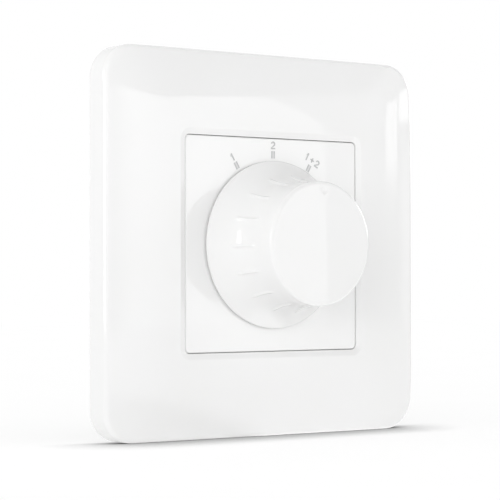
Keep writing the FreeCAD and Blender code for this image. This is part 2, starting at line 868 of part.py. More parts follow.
def contact_springs():
    """A small coil behind each blade, in the rotor's pocket."""
    length = blade_front - coil_front - 2 * coil_wire
    helix = Part.makeHelix(length / coil_turns, length, coil_radius)
    start = vec(coil_radius, 0, 0)
    section = Part.Wire(Part.makeCircle(coil_wire, start, vec(0, 1, 0)))
    coil = Part.Wire(helix).makePipeShell([section], True, True)
    coil.rotate(ORIGIN, vec(1, 0, 0), -90)
    coil.translate(vec(coil_place, coil_front + coil_wire, 0))
    return group([turn(coil, angle) for angle in pole_angles()])


def contact_places():
    """The middle angle of every way and common, with the radius of its pin."""
    ways = []
    for angle in pole_angles():
        for number in range(positions):
            ways.append((way_radius, angle + step_angle * (number - (positions - 1) / 2)))
    return ways, [(common_radius, angle) for angle in pole_angles()]


def pin_places():
    ways, commons = contact_places()
    return [polar(radius, angle) for radius, angle in ways + commons]


def fixed_contacts():
    ways, commons = contact_places()
    tail = board_back + pin_tail
    contacts = []
    for radius, angle in ways:
        x, z = polar(radius, angle)
        head = rod(contact_head, contact_face, housing_back, x, z)
        contacts.append(head.fuse(rod(pin_radius, housing_back, tail, x, z)).removeSplitter())
    for radius, angle in commons:
        x, z = polar(radius, angle)
        half = common_width / 2
        track = sector(radius + half, radius - half, angle, common_angle, contact_face, housing_back)
        contacts.append(track.fuse(rod(pin_radius, housing_back, tail, x, z)).removeSplitter())
    return group(contacts)


def stator():
    lobes, holes = ears(housing_back, stator_back, rivet_radius + fit_gap)
    body = rod(housing_radius, housing_back, stator_back).fuse(lobes).removeSplitter()
    ahead = housing_back - through
    pins = [rod(pin_radius + fit_gap, ahead, stator_back + through, x, z) for x, z in pin_places()]
    pilot = rod(pilot_radius + running_gap, ahead, pilot_back + play_gap)
    return body.cut(group(holes + pins + [pilot]))


# ---------------------------------------------------------------- circuit board and terminals
def terminal_turns():
    """Name, angle and distance from the axis of each terminal block."""
    return [
        ("terminal_block_input", 0, block_place_z),
        ("terminal_block_first", -90, block_place_x),
        ("terminal_block_second", 90, block_place_x),
    ]


def pole_x():
    return [terminal_pitch * (n - (terminal_poles - 1) / 2) for n in range(terminal_poles)]


def terminal_block(place):
    """A block below the axis, its wire entries facing down and its screws to the rear."""
    half = block_length / 2
    low = -place - block_width / 2
    body = block(-half, half, board_back, block_back, low, -place + block_width / 2)
    entry = (block_floor + chamber_top - entry_high) / 2
    wide = chamber_wide / 2
    deep = chamber_deep / 2
    cuts = []
    for x in pole_x():
        cuts.append(block(x - wide, x + wide, block_floor, chamber_top, -place - deep, -place + deep))
        left = x - entry_wide / 2
        cuts.append(block(left, left + entry_wide, entry, entry + entry_high, low - through, -place))
        cuts.append(rod(screw_well, chamber_top - through, block_back + through, x, -place))
        cuts.append(rod(pin_radius + fit_gap, board_back - through, block_floor + through, x, -place))
    return body.cut(cuts)


def clamp(x, place):
    """A box clamp, open towards the wire entry, its thick wall threaded for the screw."""
    wide = chamber_wide / 2 - clamp_gap
    deep = chamber_deep / 2 - clamp_gap
    top = chamber_top - clamp_gap
    ceiling = top - 2 * clamp_wall
    body = block(x - wide, x + wide, block_floor, top, -place - deep, -place + deep)
    left = x - wide + clamp_wall
    right = x + wide - clamp_wall
    deep += through
    inside = block(left, right, block_floor + clamp_wall, ceiling, -place - deep, -place + deep)
    thread = rod(terminal_screw_radius + fit_gap, ceiling - clamp_wall, top + through, x, -place)
    return body.cut([inside, thread])


def terminal_screw(x, place):
    top = chamber_top + terminal_screw_head_wall
    head = rod(terminal_screw_head, chamber_top, top, x, -place)
    shank = rod(terminal_screw_radius, chamber_top - 3 * clamp_wall, chamber_top, x, -place)
    reach = terminal_screw_head + through
    half = driver_slot / 2
    slot = block(x - reach, x + reach, top - driver_slot_depth, top + through, -place - half, -place + half)
    return head.fuse(shank).removeSplitter().cut(slot)


def terminal_pin(x, place):
    return rod(pin_radius, board_front - pin_tail, block_floor, x, -place)


def each_terminal(make):
    """The same piece at every pole of every terminal block."""
    pieces = []
    for name, angle, place in terminal_turns():
        for x in pole_x():
            pieces.append(turn(make(x, place), angle))
    return group(pieces)


def terminal_places():
    """The middle of every terminal on the board."""
    places = []
    for name, angle, place in terminal_turns():
        reach = [math.hypot(x, place) for x in pole_x()]
        lean = [math.degrees(math.atan2(-place, x)) for x in pole_x()]
        places += [polar(r, a + angle) for r, a in zip(reach, lean)]
    return places


def circuit_board():
    body = slab(board_width / 2, board_height / 2, board_corner, board_front, board_back)
    ahead = board_front - through
    behind = board_back + through
    pin_hole = pin_radius + hole_slack
    cuts = [rod(pin_hole, ahead, behind, x, z) for x, z in pin_places() + terminal_places()]
    cuts += [rod(screw_radius + hole_slack, ahead, behind, x, z) for x, z in board_places()]
    return body.cut(group(cuts))


def solder(x, z, face, outward):
    """A small cone of solder round a pin, standing on a face of the board."""
    cone = Part.makeCone(solder_radius, solder_tip, solder_height, vec(x, face, z), vec(0, outward, 0))
    bore = pin_radius + running_gap / 2
    return cone.cut(rod(bore, face - solder_height - through, face + solder_height + through, x, z))


def solder_joints():
    joints = [solder(x, z, board_back, 1) for x, z in pin_places()]
    joints += [solder(x, z, board_front, -1) for x, z in terminal_places()]
    return group(joints)


# ---------------------------------------------------------------- write every piece
def build():
    os.makedirs("parts", exist_ok=True)
    save("cover_frame", cover_frame())
    save("centre_plate", centre_plate())
    save("dial_marks", dial_marks())
    save("knob", knob())
    save("knob_clip", knob_clip())
    save("shaft", shaft())
    save("front_retaining_ring", retaining_ring(front_ring_front, 90))
    save("rear_retaining_ring", retaining_ring(rear_ring_front, 270))
    save("mounting_bushing", mounting_bushing())
    save("tie_rivets", tie_rivets())
    save("lock_washer", lock_washer())
    save("bushing_nut", bushing_nut())
    save("plate_washer", plate_washer())
    save("plate_nut", plate_nut())
    save("support_frame", support_frame())
    save("spacer_screws", spacer_screws())
    save("board_spacers", board_spacers())
    save("board_screws", board_screws())
    save("switch_housing", switch_housing())
    save("detent_wheel", detent_wheel())
    save("detent_spring", detent_spring())
    save("stop_arm", stop_arm())
    save("stop_ring", stop_ring())
    save("rotor", rotor())
    save("moving_contacts", moving_contacts())
    save("contact_springs", contact_springs())
    save("fixed_contacts", fixed_contacts())
    save("stator", stator())
    save("circuit_board", circuit_board())
    for name, angle, place in terminal_turns():
        save(name, turn(terminal_block(place), angle))
    save("terminal_clamps", each_terminal(clamp))
    save("terminal_screws", each_terminal(terminal_screw))
    save("terminal_pins", each_terminal(terminal_pin))
    save("solder_joints", solder_joints())


build()
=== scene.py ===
# %% [markdown]
# # A speaker selector with a rotary knob
# This lesson dresses a finished model of a wall plate with a turning knob. The mechanics come
# as a fixed frame of measured solids, one node for each part or set of like parts. Those whose
# shape is right keep their solid and get a finish; the moulded plastic fronts are made again as
# smooth meshes. All lengths are metres, X is right, Z is up and -Y points out of the wall.

# %% Load the measured model
import math

import bmesh
import bpy
from mathutils import Matrix, Vector


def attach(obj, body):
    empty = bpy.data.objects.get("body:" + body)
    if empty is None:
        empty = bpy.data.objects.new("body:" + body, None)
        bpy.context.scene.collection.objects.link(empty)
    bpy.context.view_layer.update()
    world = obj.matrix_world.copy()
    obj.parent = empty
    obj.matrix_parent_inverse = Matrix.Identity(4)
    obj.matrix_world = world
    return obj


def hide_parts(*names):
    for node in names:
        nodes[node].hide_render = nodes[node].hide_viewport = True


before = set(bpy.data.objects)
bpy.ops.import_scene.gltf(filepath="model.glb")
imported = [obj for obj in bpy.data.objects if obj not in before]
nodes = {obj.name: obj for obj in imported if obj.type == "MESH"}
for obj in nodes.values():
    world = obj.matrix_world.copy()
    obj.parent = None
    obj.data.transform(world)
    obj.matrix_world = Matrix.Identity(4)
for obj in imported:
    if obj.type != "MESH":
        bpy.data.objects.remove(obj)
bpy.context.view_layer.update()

# %% [markdown]
# ## The camera
# The plate stands upright on a table and is seen from the left, nearly at its own height,
# through a long lens, which keeps its sides almost parallel. A camera could be set by eye in
# the viewport; here it is set by numbers, so that the view is the same each time.

# %% Camera
MM = 0.001


def new_object(name, data):
    """An object with this data, linked to the scene."""
    made = bpy.data.objects.new(name, data)
    bpy.context.scene.collection.objects.link(made)
    return made


PLACE = (-249.98, -339.74, -7.53)             # millimetres
TURN, TILT, ROLL = -36.334, 90.887, -0.076    # degrees
camera_data = bpy.data.cameras.new("camera")
camera_data.sensor_width = 36.0
camera_data.lens = 141.84
camera = new_object("camera", camera_data)
camera.matrix_world = (
    Matrix.Translation(Vector(PLACE) * MM)
    @ Matrix.Rotation(math.radians(TURN), 4, "Z")
    @ Matrix.Rotation(math.radians(TILT), 4, "X")
    @ Matrix.Rotation(math.radians(ROLL), 4, "Z")
)
bpy.context.scene.camera = camera
print("camera", [round(v, 3) for v in camera.location], "lens", camera_data.lens)

# %% [markdown]
# ## Node helpers
# Finishes, shapes made by nodes and the light are all trees of nodes. A few small helpers keep
# the cells below readable: they feed a value or a link into an input, add a node with its
# settings, do arithmetic on sockets, read the X, Y and Z of a vector, and blend two colours or
# two levels softly.

# %% Node helpers
def feed(tree, socket, value):
    """Puts a number, a colour or another node's output into an input."""
    if isinstance(value, bpy.types.NodeSocket):
        tree.links.new(value, socket)
    elif value is not None:
        socket.default_value = value


def add(tree, kind, inputs=None, **settings):
    """One node with its settings, and its inputs by name or number."""
    node = tree.nodes.new(kind)
    for name, value in settings.items():
        setattr(node, name, value)
    for name, value in (inputs or {}).items():
        feed(tree, node.inputs[name], value)
    return node


def arithmetic(tree):
    """A function that adds one Math node and gives its output."""
    def work(operation, *values):
        node = add(tree, "ShaderNodeMath", operation=operation)
        for socket, value in zip(node.inputs, values):
            feed(tree, socket, value)
        return node.outputs[0]
    return work


def distance(work, across, up):
    """The length of a slanted line from its two sides."""
    return work("SQRT", work("ADD", work("MULTIPLY", across, across), work("MULTIPLY", up, up)))


def xyz(tree, vector):
    """The X, Y and Z outputs of a vector."""
    return add(tree, "ShaderNodeSeparateXYZ", {0: vector}).outputs


def blend(tree, share, first, second):
    """A colour between two, by a share from 0 to 1."""
    return add(tree, "ShaderNodeMix", {"Factor": share, 6: first, 7: second}, data_type="RGBA").outputs[2]


def smooth_step(tree, value, low, high):
    """0 up to one value and 1 from another, with a soft passage between them."""
    return add(tree, "ShaderNodeMapRange", {"Value": value, "From Min": low, "From Max": high},
               interpolation_type="SMOOTHSTEP").outputs[0]


print("node helpers", [h.__name__ for h in (feed, add, arithmetic, distance, xyz, blend, smooth_step)])

# %% [markdown]
# ## Finishes
# The front is one moulded white thermoplastic with a high gloss. Real gloss plastic is never
# perfectly flat: the mould leaves a very shallow waviness that bends reflections, fine
# handling marks that vary the gloss, and a hardly visible change in tone. So the colour stays
# nearly even, while noise drives the roughness and a faint bump. A painted texture could do it
# too, but noise on Object coordinates has no seams and stays on the part from every side.

# %% Finish helper
def finish(name, colour, roughness, metal=0.0):
    """A material with its surface shader, ready for patterns."""
    made = bpy.data.materials.new(name)
    made.use_nodes = True
    tree = made.node_tree
    shader = tree.nodes["Principled BSDF"]
    shader.inputs["Base Color"].default_value = (*colour, 1)
    shader.inputs["Roughness"].default_value = roughness
    shader.inputs["Metallic"].default_value = metal
    return made, tree, shader


def noise(tree, scale, detail, stretch=(1, 1, 1)):
    """Noise on the part's own coordinates; scale is in waves per metre."""
    place = add(tree, "ShaderNodeTexCoord").outputs["Object"]
    mapped = add(tree, "ShaderNodeMapping", {"Vector": place, "Scale": stretch})
    return add(tree, "ShaderNodeTexNoise", {"Vector": mapped.outputs[0], "Scale": scale,
                                            "Detail": detail, "Roughness": 0.5}).outputs[0]


def spread(tree, value, low, high):
    """Maps the middle of a noise, 0.3 to 0.7, to a range from low to high."""
    return add(tree, "ShaderNodeMapRange", {"Value": value, "From Min": 0.3, "From Max": 0.7,
                                            "To Min": low, "To Max": high}).outputs[0]


def tones(tree, value, dark, light):
    """A colour that runs from dark to light with a noise."""
    return blend(tree, spread(tree, value, 0, 1), (*dark, 1), (*light, 1))


def relief(tree, shader, value, depth):
    """Shallow bump, its height in metres."""
    bump = add(tree, "ShaderNodeBump", {"Height": value, "Strength": 1.0, "Distance": depth})
    feed(tree, shader.inputs["Normal"], bump.outputs[0])


print("finish helpers", [h.__name__ for h in (finish, noise, spread, tones, relief)])

# %% White gloss plastic
def white_gloss(name, tone, waviness):
    """Gloss plastic of a given tone; the waviness is the depth of its bump in metres."""
    made, tree, shader = finish(name, (tone, tone, tone), 0.1)
    shader.inputs["IOR"].default_value = 1.5
    clouds, creamy = noise(tree, 60, 2), (tone * 0.99, tone * 0.99, tone * 0.985)
    feed(tree, shader.inputs["Base Color"], tones(tree, clouds, creamy, (tone, tone, tone)))
    feed(tree, shader.inputs["Roughness"], spread(tree, noise(tree, 900, 4), 0.006, 0.02))
    relief(tree, shader, noise(tree, 140, 1), waviness)
    return made


frame_white = white_gloss("frame_white_plastic", 0.88, 3e-6)
# The plate is the same plastic as the frame and the knob, but its tone is 0.9 against their 0.88. That is
# painted light: it lightens the plate to make up for the shade and the knob's reflection that fall on it.
plate_white_lightened = white_gloss("plate_white_plastic_lightened", 0.9, 1e-6)
knob_white = white_gloss("knob_white_plastic", 0.88, 5e-7)
print("white finishes", [m.name for m in (frame_white, plate_white_lightened, knob_white)])

# %% [markdown]
# The printed bars and figures are pad-printed ink: a grey film, a little thinner at random
# places, with less gloss than the plastic around it. The print roller leaves less ink in the
# middle of each bar, so the bars have a paler core. It could be a strip of its own; one finish
# for all the ink is simpler, so the core is found from the distance to the nearest ray at a
# whole step of thirty degrees, inside the outer end of the bars.

# %% Dial ink
BAR_END, CORE = 0.0198, 0.00018     # outer end of the bars, and half the width of their core
STEP = math.radians(30)
dial_ink, tree, shader = finish("dial_ink", (0.52, 0.52, 0.525), 0.4)
work = arithmetic(tree)
spot = xyz(tree, add(tree, "ShaderNodeTexCoord").outputs["Object"])
far = distance(work, spot["X"], spot["Z"])
steps = work("DIVIDE", work("ARCTAN2", spot["X"], spot["Z"]), STEP)
off_step = work("MULTIPLY", work("SUBTRACT", steps, work("ROUND", steps)), STEP)
off_ray = work("MULTIPLY", work("SINE", off_step), far)
core = work("MULTIPLY", work("LESS_THAN", work("ABSOLUTE", off_ray), CORE), work("LESS_THAN", far, BAR_END))
film = tones(tree, noise(tree, 1500, 3), (0.47, 0.47, 0.475), (0.57, 0.57, 0.575))
feed(tree, shader.inputs["Base Color"], blend(tree, core, film, (0.68, 0.68, 0.685, 1)))
feed(tree, shader.inputs["Roughness"], spread(tree, noise(tree, 2500, 2), 0.3, 0.5))


def dress(name, material):
    """Gives a measured part its finish."""
    nodes[name].data.materials.clear()
    nodes[name].data.materials.append(material)


dress("dial_marks", dial_ink)
print("dial ink on", nodes["dial_marks"].name)

# %% [markdown]
# ## Rings of a rounded square
# The cover frame and the centre plate are both rounded squares whose section is swept round.
# Such a shape is a stack of rings: each ring is a square of a given half side and corner
# radius at a given depth, and neighbouring rings are joined by strips of four-sided faces.
# All rings have the same number of points, so the strips never twist.

# %% Ring helpers
SIDE_STEPS, CORNER_STEPS = 28, 14


def ring_points(half, corner):
    """Points and outward directions of a rounded square, anticlockwise from the right side."""
    points = []
    inner = half - corner
    for quarter in range(4):
        turn = Matrix.Rotation(quarter * math.pi / 2, 2)
        for n in range(SIDE_STEPS):
            z = -inner + 2 * inner * n / SIDE_STEPS
            points.append((turn @ Vector((half, z)), turn @ Vector((1, 0))))
        for n in range(CORNER_STEPS):
            angle = math.pi / 2 * n / CORNER_STEPS
            out = Vector((math.cos(angle), math.sin(angle)))
            points.append((turn @ (Vector((inner, inner)) + out * corner), turn @ out))
    return points


def flat_ring(half, corner, depth):
    """A rounded square as (x, y, z) points at one depth."""
    return [(p.x, depth, p.y) for p, out in ring_points(half, corner)]


print("points in a ring", len(ring_points(1.0, 0.5)))

# %% Mesh helpers
SHARP = math.radians(35)     # corners steeper than this are edges of the moulding


def turn_outwards(work):
    """Makes all faces of a closed mesh look outwards."""
    bmesh.ops.recalc_face_normals(work, faces=work.faces)
    if work.calc_volume(signed=True) < 0:
        bmesh.ops.reverse_faces(work, faces=work.faces)


def swept(name, rings, material):
    """A closed mesh from rings of (x, y, z) points in millimetres, joined one to the next."""
    mesh = bpy.data.meshes.new(name)
    count = len(rings[0])
    points = [Vector(p) * MM for ring in rings for p in ring]
    faces = []
    for k in range(len(rings)):
        a, b = k * count, (k + 1) % len(rings) * count
        faces += [(a + n, a + (n + 1) % count, b + (n + 1) % count, b + n) for n in range(count)]
    mesh.from_pydata(points, [], faces)
    work = bmesh.new()
    work.from_mesh(mesh)
    turn_outwards(work)
    work.to_mesh(mesh)
    work.free()
    mesh.shade_smooth()
    mesh.materials.append(material)
    return new_object(name, mesh)


def keep_result(piece, modifier):
    """Keeps the mesh that a modifier makes, and takes the modifier off."""
    mesh = bpy.data.meshes.new_from_object(piece.evaluated_get(bpy.context.evaluated_depsgraph_get()))
    piece.modifiers.remove(modifier)
    old, piece.data = piece.data, mesh
    bpy.data.meshes.remove(old)


def rounded_edges(piece, width):
    """Breaks the sharp edges by a small radius, as a mould does."""
    edge = piece.modifiers.new("edges", "BEVEL")
    edge.width = width * MM
    edge.segments = 3
    edge.limit_method = "ANGLE"
    edge.angle_limit = SHARP
    edge.harden_normals = True
    keep_result(piece, edge)
    return piece


print("mesh helpers", [h.__name__ for h in (turn_outwards, swept, keep_result, rounded_edges)])

# %% [markdown]
# ## The cover frame
# The front of the frame is flat beside the window and falls back towards the outline with the
# square of the distance, further in the corners, where both directions add up. A rounded edge
# leads over to the straight side wall. The same formula with an offset of one wall gives the
# hollow back. A sculpted or subdivided surface would only come near these heights. The fall is
# a rule, so each ring point takes its height from it.

# %% Cover frame sizes
# Half sides, radii and depths in millimetres.
HALF, CORNER = 40.35, 6.7
WINDOW, WINDOW_CORNER = 22.5, 1.1
BEVEL, BEVEL_FALL = 1.3, 0.4
COLLAR, COLLAR_CORNER, COLLAR_BACK = 24.1, 2.7, -1.5
LIP_FRONT, LIP_BACK = -4.4, -3.2
SKIRT, SKIRT_CORNER = 20.9, 1.0
FLAT, FRONT, DROP = 25.5, 8.5, 2.3
EDGE_ROUND, WALL = 1.3, 1.8
CREASE = 0.12          # half the width of the soft crease outside the bevel
EDGE_BREAK = 0.12      # small radius on the edges that a mould leaves sharp


def dome(x, z):
    """Height of the front over the wall."""
    across = max(0.0, abs(x) - FLAT) / (HALF - FLAT)
    upward = max(0.0, abs(z) - FLAT) / (HALF - FLAT)
    return FRONT - DROP * (across ** 3 + upward ** 3) ** (2 / 3)


def lean(point, out):
    """Angle by which the front falls back at a point, along an outward direction."""
    step = 0.01
    a, b = point - out * step, point + out * step
    return math.atan2(dome(a.x, a.y) - dome(b.x, b.y), 2 * step)


corner_place = HALF - CORNER * (1 - math.sqrt(0.5))
corner_height = round(dome(corner_place, corner_place), 2)
print("front height at the edge", round(dome(HALF, 0), 2), "and at a corner", corner_height)

# %% Rounded outer edge
def edge_arc(steps):
    """Rings from the front's last point, over the edge, to the side wall."""
    arcs = []
    for point, out in ring_points(HALF, CORNER):
        inset = EDGE_ROUND / 2     # first guess; the loop settles where arc and front meet
        for n in range(12):
            inset = EDGE_ROUND * (1 - math.sin(lean(point - out * inset, out)))
        start = point - out * inset
        angle = lean(start, out)
        centre_height = dome(start.x, start.y) - EDGE_ROUND * math.cos(angle)
        arc = []
        for n in range(steps + 1):
            t = angle + (math.pi / 2 - angle) * n / steps
            place = point - out * EDGE_ROUND * (1 - math.sin(t))
            arc.append((place.x, -(centre_height + EDGE_ROUND * math.cos(t)), place.y))
        arcs.append(arc)
    return [[arc[n] for arc in arcs] for n in range(steps + 1)]


arc_rings = edge_arc(10)
print(len(arc_rings), "rings over the edge, the first at depth", round(arc_rings[0][0][1], 2))

# %% Cover frame rings
def between(ring_a, ring_b, steps, height):
    """Rings from one to the other, each point lifted to a height; both ends are left out."""
    made = []
    for n in range(1, steps):
        ring = []
        for a, b in zip(ring_a, ring_b):
            x = a[0] + (b[0] - a[0]) * n / steps
            z = a[2] + (b[2] - a[2]) * n / steps
            ring.append((x, -height(x, z), z))
        made.append(ring)
    return made


bevel_in = flat_ring(WINDOW, WINDOW_CORNER, -FRONT + BEVEL_FALL)
bevel_out = flat_ring(WINDOW + BEVEL, WINDOW_CORNER + BEVEL, -FRONT)
inner_half, inner_corner = HALF - WALL, CORNER - WALL
inner_edge = [(x, WALL - dome(x, z), z) for x, y, z in flat_ring(inner_half, inner_corner, 0)]
collar_out = flat_ring(COLLAR, COLLAR_CORNER, WALL - FRONT)
crease_fall = BEVEL_FALL * CREASE / BEVEL
crease_in = flat_ring(WINDOW + BEVEL - CREASE, WINDOW_CORNER + BEVEL - CREASE, -FRONT + crease_fall)
crease_out = flat_ring(WINDOW + BEVEL + CREASE, WINDOW_CORNER + BEVEL + CREASE, -FRONT)
below_arc = [(x, y + CREASE, z) for x, y, z in arc_rings[-1]]
rings = [bevel_in, crease_in, bevel_out, crease_out]
rings += between(crease_out, arc_rings[0], 36, dome)
rings += arc_rings + [below_arc]
rings += [flat_ring(HALF, CORNER, 0), flat_ring(inner_half, inner_corner, 0), inner_edge]
rings += between(inner_edge, collar_out, 20, lambda x, z: dome(x, z) - WALL)
rings += [collar_out, flat_ring(COLLAR, COLLAR_CORNER, COLLAR_BACK)]
rings += [flat_ring(WINDOW, WINDOW_CORNER, COLLAR_BACK), flat_ring(WINDOW, WINDOW_CORNER, LIP_BACK)]
rings += [flat_ring(SKIRT, SKIRT_CORNER, LIP_BACK), flat_ring(SKIRT, SKIRT_CORNER, LIP_FRONT)]
rings.append(flat_ring(WINDOW, WINDOW_CORNER, LIP_FRONT))
print("cover frame", len(rings), "rings")

# %% Cover frame mesh
cover_frame = rounded_edges(swept("frame_front", rings, frame_white), EDGE_BREAK)
width = round(cover_frame.dimensions.x / MM, 2)
print("cover frame", len(cover_frame.data.polygons), "faces,", width, "mm wide")

# %% Put the cover frame on its body
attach(cover_frame, "base")
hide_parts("cover_frame")

# %% [markdown]
# ## The centre plate
# A flat square cap with a skirt that clips into the frame. Its edge has a small radius that
# catches a thin line of light beside the dark gap. The face runs from the hole round the
# bushing out to the square edge, so the first rings are circles and the last are squares. A
# hole cut with a Boolean would leave long thin faces there.

# %% Centre plate mesh
PLATE, PLATE_CORNER, PLATE_ROUND = 22.4, 1.0, 0.35
PLATE_FACE, PLATE_BACK, PLATE_HOLE = -8.09, -6.09, 4.8
FACE_INSET, FACE_CORNER = 0.45, 0.7     # where the flat face ends, inside the rounded edge


def circle_ring(radius, depth):
    """A circle with as many points as the square rings."""
    around = [p.normalized() * radius for p, out in ring_points(1.0, 0.5)]
    return [(p.x, depth, p.y) for p in around]


hole = circle_ring(PLATE_HOLE, PLATE_FACE)
face_edge = flat_ring(PLATE - FACE_INSET, FACE_CORNER, PLATE_FACE)
rings = [hole]
for share in (0.35, 0.7):
    rings.append([tuple(Vector(a).lerp(Vector(b), share)) for a, b in zip(hole, face_edge)])
rings.append(face_edge)
for n in range(7):
    t = math.pi / 2 * n / 6
    inset = PLATE_ROUND * (1 - math.sin(t))
    depth = PLATE_FACE + PLATE_ROUND * (1 - math.cos(t))
    rings.append(flat_ring(PLATE - inset, PLATE_CORNER - inset, depth))
rings += [flat_ring(PLATE, PLATE_CORNER, LIP_FRONT), flat_ring(SKIRT, SKIRT_CORNER, LIP_FRONT)]
rings += [flat_ring(SKIRT, SKIRT_CORNER, PLATE_BACK), circle_ring(PLATE_HOLE, PLATE_BACK)]
centre_plate = swept("plate_front", rings, plate_white_lightened)
centre_plate.data.set_sharp_from_angle(angle=SHARP)
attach(centre_plate, "base")
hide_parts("centre_plate")
print("centre plate", len(centre_plate.data.polygons), "faces")

# %% [markdown]
# ## The knob
# The knob is turned round one axis, and fifteen thin grip ribs stand on its flare. A Screw
# modifier could turn it, but the ribs would be loose pieces. The whole is a rule, so Geometry
# Nodes make it. The object holds only its section, as a line of points; the
# tree wraps a grid round the axis, reads the section point for each row, and lifts the
# surface where a rib passes. Columns crowd together at the ribs, where the shape is fine.

# %% Knob section
# Heights in millimetres over the plate, and radii.
LIFT, RIM, RIM_RADIUS, NECK = 0.4, 0.5, 17.6, 12.8
LENGTH, FLARE, POWER, FRONT_ROUND = 16.5, 12.3, 2.75, 0.8
KNOB_WALL, KNOB_TOP, RIM_ROUND = 1.8, 2.0, 0.12
HUB_RADIUS, HUB_FOOT, BORE_RADIUS = 5.5, 4.21, 3.05
INDEX, INDEX_PLACE, INDEX_DEPTH = 0.9, 10.9, 0.25


def flare(height):
    """Outside radius at a height over the plate."""
    left = min(1.0, max(0.0, 1 - (height - LIFT - RIM) / FLARE))
    return NECK + (RIM_RADIUS - NECK) * left ** POWER


def knob_section():
    """Section from the middle of the front, over the side and the hollow, to the bore."""
    # Close rows from one side of the index hollow to the other, and a little beyond.
    index_rows = [INDEX_PLACE - INDEX * 1.1 + INDEX * 2.2 * n / 18 for n in range(19)]
    line = [(r, LENGTH) for r in [0.0, 4.0, 8.0] + index_rows + [NECK - FRONT_ROUND - 0.06]]
    for n in range(13):
        t = math.pi / 2 * n / 12
        line.append((NECK - FRONT_ROUND * (1 - math.sin(t)), LENGTH - FRONT_ROUND * (1 - math.cos(t))))
    steps = 90
    top, low = LENGTH - FRONT_ROUND, LIFT + RIM
    for n in range(1, steps + 1):
        height = top + (low - top) * n / steps
        line.append((flare(height), height))
    outside = len(line)
    line += [(RIM_RADIUS, LIFT + RIM / 2), (RIM_RADIUS, LIFT + RIM_ROUND)]
    line += [(RIM_RADIUS - RIM_ROUND * 0.3, LIFT + RIM_ROUND * 0.3), (RIM_RADIUS - RIM_ROUND, LIFT)]
    line.append((RIM_RADIUS - KNOB_WALL, LIFT))
    roof = LENGTH - KNOB_TOP
    for n in range(13):
        height = LIFT + RIM + (roof - LIFT - RIM) * n / 12
        line.append((flare(height) - KNOB_WALL, height))
    line += [(HUB_RADIUS, roof), (HUB_RADIUS, HUB_FOOT)]
    line += [(BORE_RADIUS, HUB_FOOT), (BORE_RADIUS, roof), (0.0, roof)]
    return line, outside


section, outside = knob_section()
print("section of", len(section), "points,", outside, "of them outside")

# %% Knob section as an object
mesh = bpy.data.meshes.new("knob_section")
section_edges = [(n, n + 1) for n in range(len(section) - 1)]
mesh.from_pydata([(r * MM, 0, h * MM) for r, h in section], section_edges, [])
ribbed = mesh.attributes.new("ribbed", "FLOAT", "POINT")
for n in range(len(section)):
    ribbed.data[n].value = 1.0 if n < outside else 0.0
knob = new_object("knob_front", mesh)
print("section object with", len(mesh.edges), "edges")

# %% Knob tree, inputs
KNOB_LEAD = 4.0          # degrees by which index and ribs stand clockwise of the upright
lead = math.radians(90 - KNOB_LEAD)


def open_tree(name, start, measures):
    """A tree that starts from the object's mesh, with an input for each measure and a material."""
    tree = bpy.data.node_groups.new(name, "GeometryNodeTree")
    tree.interface.new_socket("Geometry", in_out="OUTPUT", socket_type="NodeSocketGeometry")
    tree.interface.new_socket(start, in_out="INPUT", socket_type="NodeSocketGeometry")
    for label, value in measures.items():
        kind = "NodeSocketInt" if isinstance(value, int) else "NodeSocketFloat"
        tree.interface.new_socket(label, in_out="INPUT", socket_type=kind).default_value = value
    tree.interface.new_socket("Material", in_out="INPUT", socket_type="NodeSocketMaterial")
    print(name, "takes", [s.name for s in tree.interface.items_tree if s.in_out == "INPUT"])
    return tree, add(tree, "NodeGroupInput").outputs, arithmetic(tree)


tree, given, work = open_tree("turned_knob", "Section", {
    "Ribs": 15, "Columns per rib": 24, "Rib rise": 0.00024, "Rib width": 0.0005, "Rib start": 0.0048,
    "Rib end": 0.0111, "Rib ramp": 0.0012, "Lead": lead, "Plate face": PLATE_FACE * MM,
    "Index radius": INDEX * MM, "Index place": INDEX_PLACE * MM, "Index angle": lead,
    "Index depth": INDEX_DEPTH * MM})

# %% Knob tree, from grid to turned body
points = add(tree, "GeometryNodeAttributeDomainSize", component="MESH")
feed(tree, points.inputs[0], given["Section"])
rows = points.outputs["Point Count"]
columns = work("MULTIPLY", given["Ribs"], given["Columns per rib"])
grid = add(tree, "GeometryNodeMeshGrid", {"Size X": 1.0, "Size Y": 1.0, "Vertices Y": rows,
                                          "Vertices X": work("ADD", columns, 1)})
here = add(tree, "GeometryNodeInputPosition").outputs[0]
flat = xyz(tree, here)
column_share = work("ADD", flat["X"], 0.5)
row_share = work("ADD", flat["Y"], 0.5)
row = work("ROUND", work("MULTIPLY", row_share, work("SUBTRACT", rows, 1)))


def at_row(value, kind):
    """Reads a value of the section at the point for this row."""
    node = add(tree, "GeometryNodeSampleIndex", {"Geometry": given["Section"], "Value": value,
                                                 "Index": row}, data_type=kind, domain="POINT")
    return node.outputs[0]


section_point = xyz(tree, at_row(here, "FLOAT_VECTOR"))
radius, height = section_point["X"], section_point["Z"]
ribbed_name = add(tree, "GeometryNodeInputNamedAttribute", {"Name": "ribbed"}, data_type="FLOAT")
ribbed_share = at_row(ribbed_name.outputs[0], "FLOAT")
print("nodes up to the section", len(tree.nodes))

# %% Knob tree, columns crowded at the ribs
CROWDING = 0.85     # 0 spaces the columns evenly, 1 would stack them on the ribs
turns = work("MULTIPLY", column_share, given["Ribs"])
rib = work("ROUND", turns)
period = work("SUBTRACT", turns, rib)
wave = work("SINE", work("MULTIPLY", period, math.tau))
from_rib = work("SUBTRACT", period, work("MULTIPLY", wave, CROWDING / math.tau))
whole = work("DIVIDE", work("ADD", rib, from_rib), given["Ribs"])
angle = work("ADD", work("MULTIPLY", whole, math.tau), given["Lead"])
from_rib_angle = work("DIVIDE", work("MULTIPLY", from_rib, math.tau), given["Ribs"])
sideways = work("MULTIPLY", from_rib_angle, radius)
print("nodes up to the columns", len(tree.nodes))

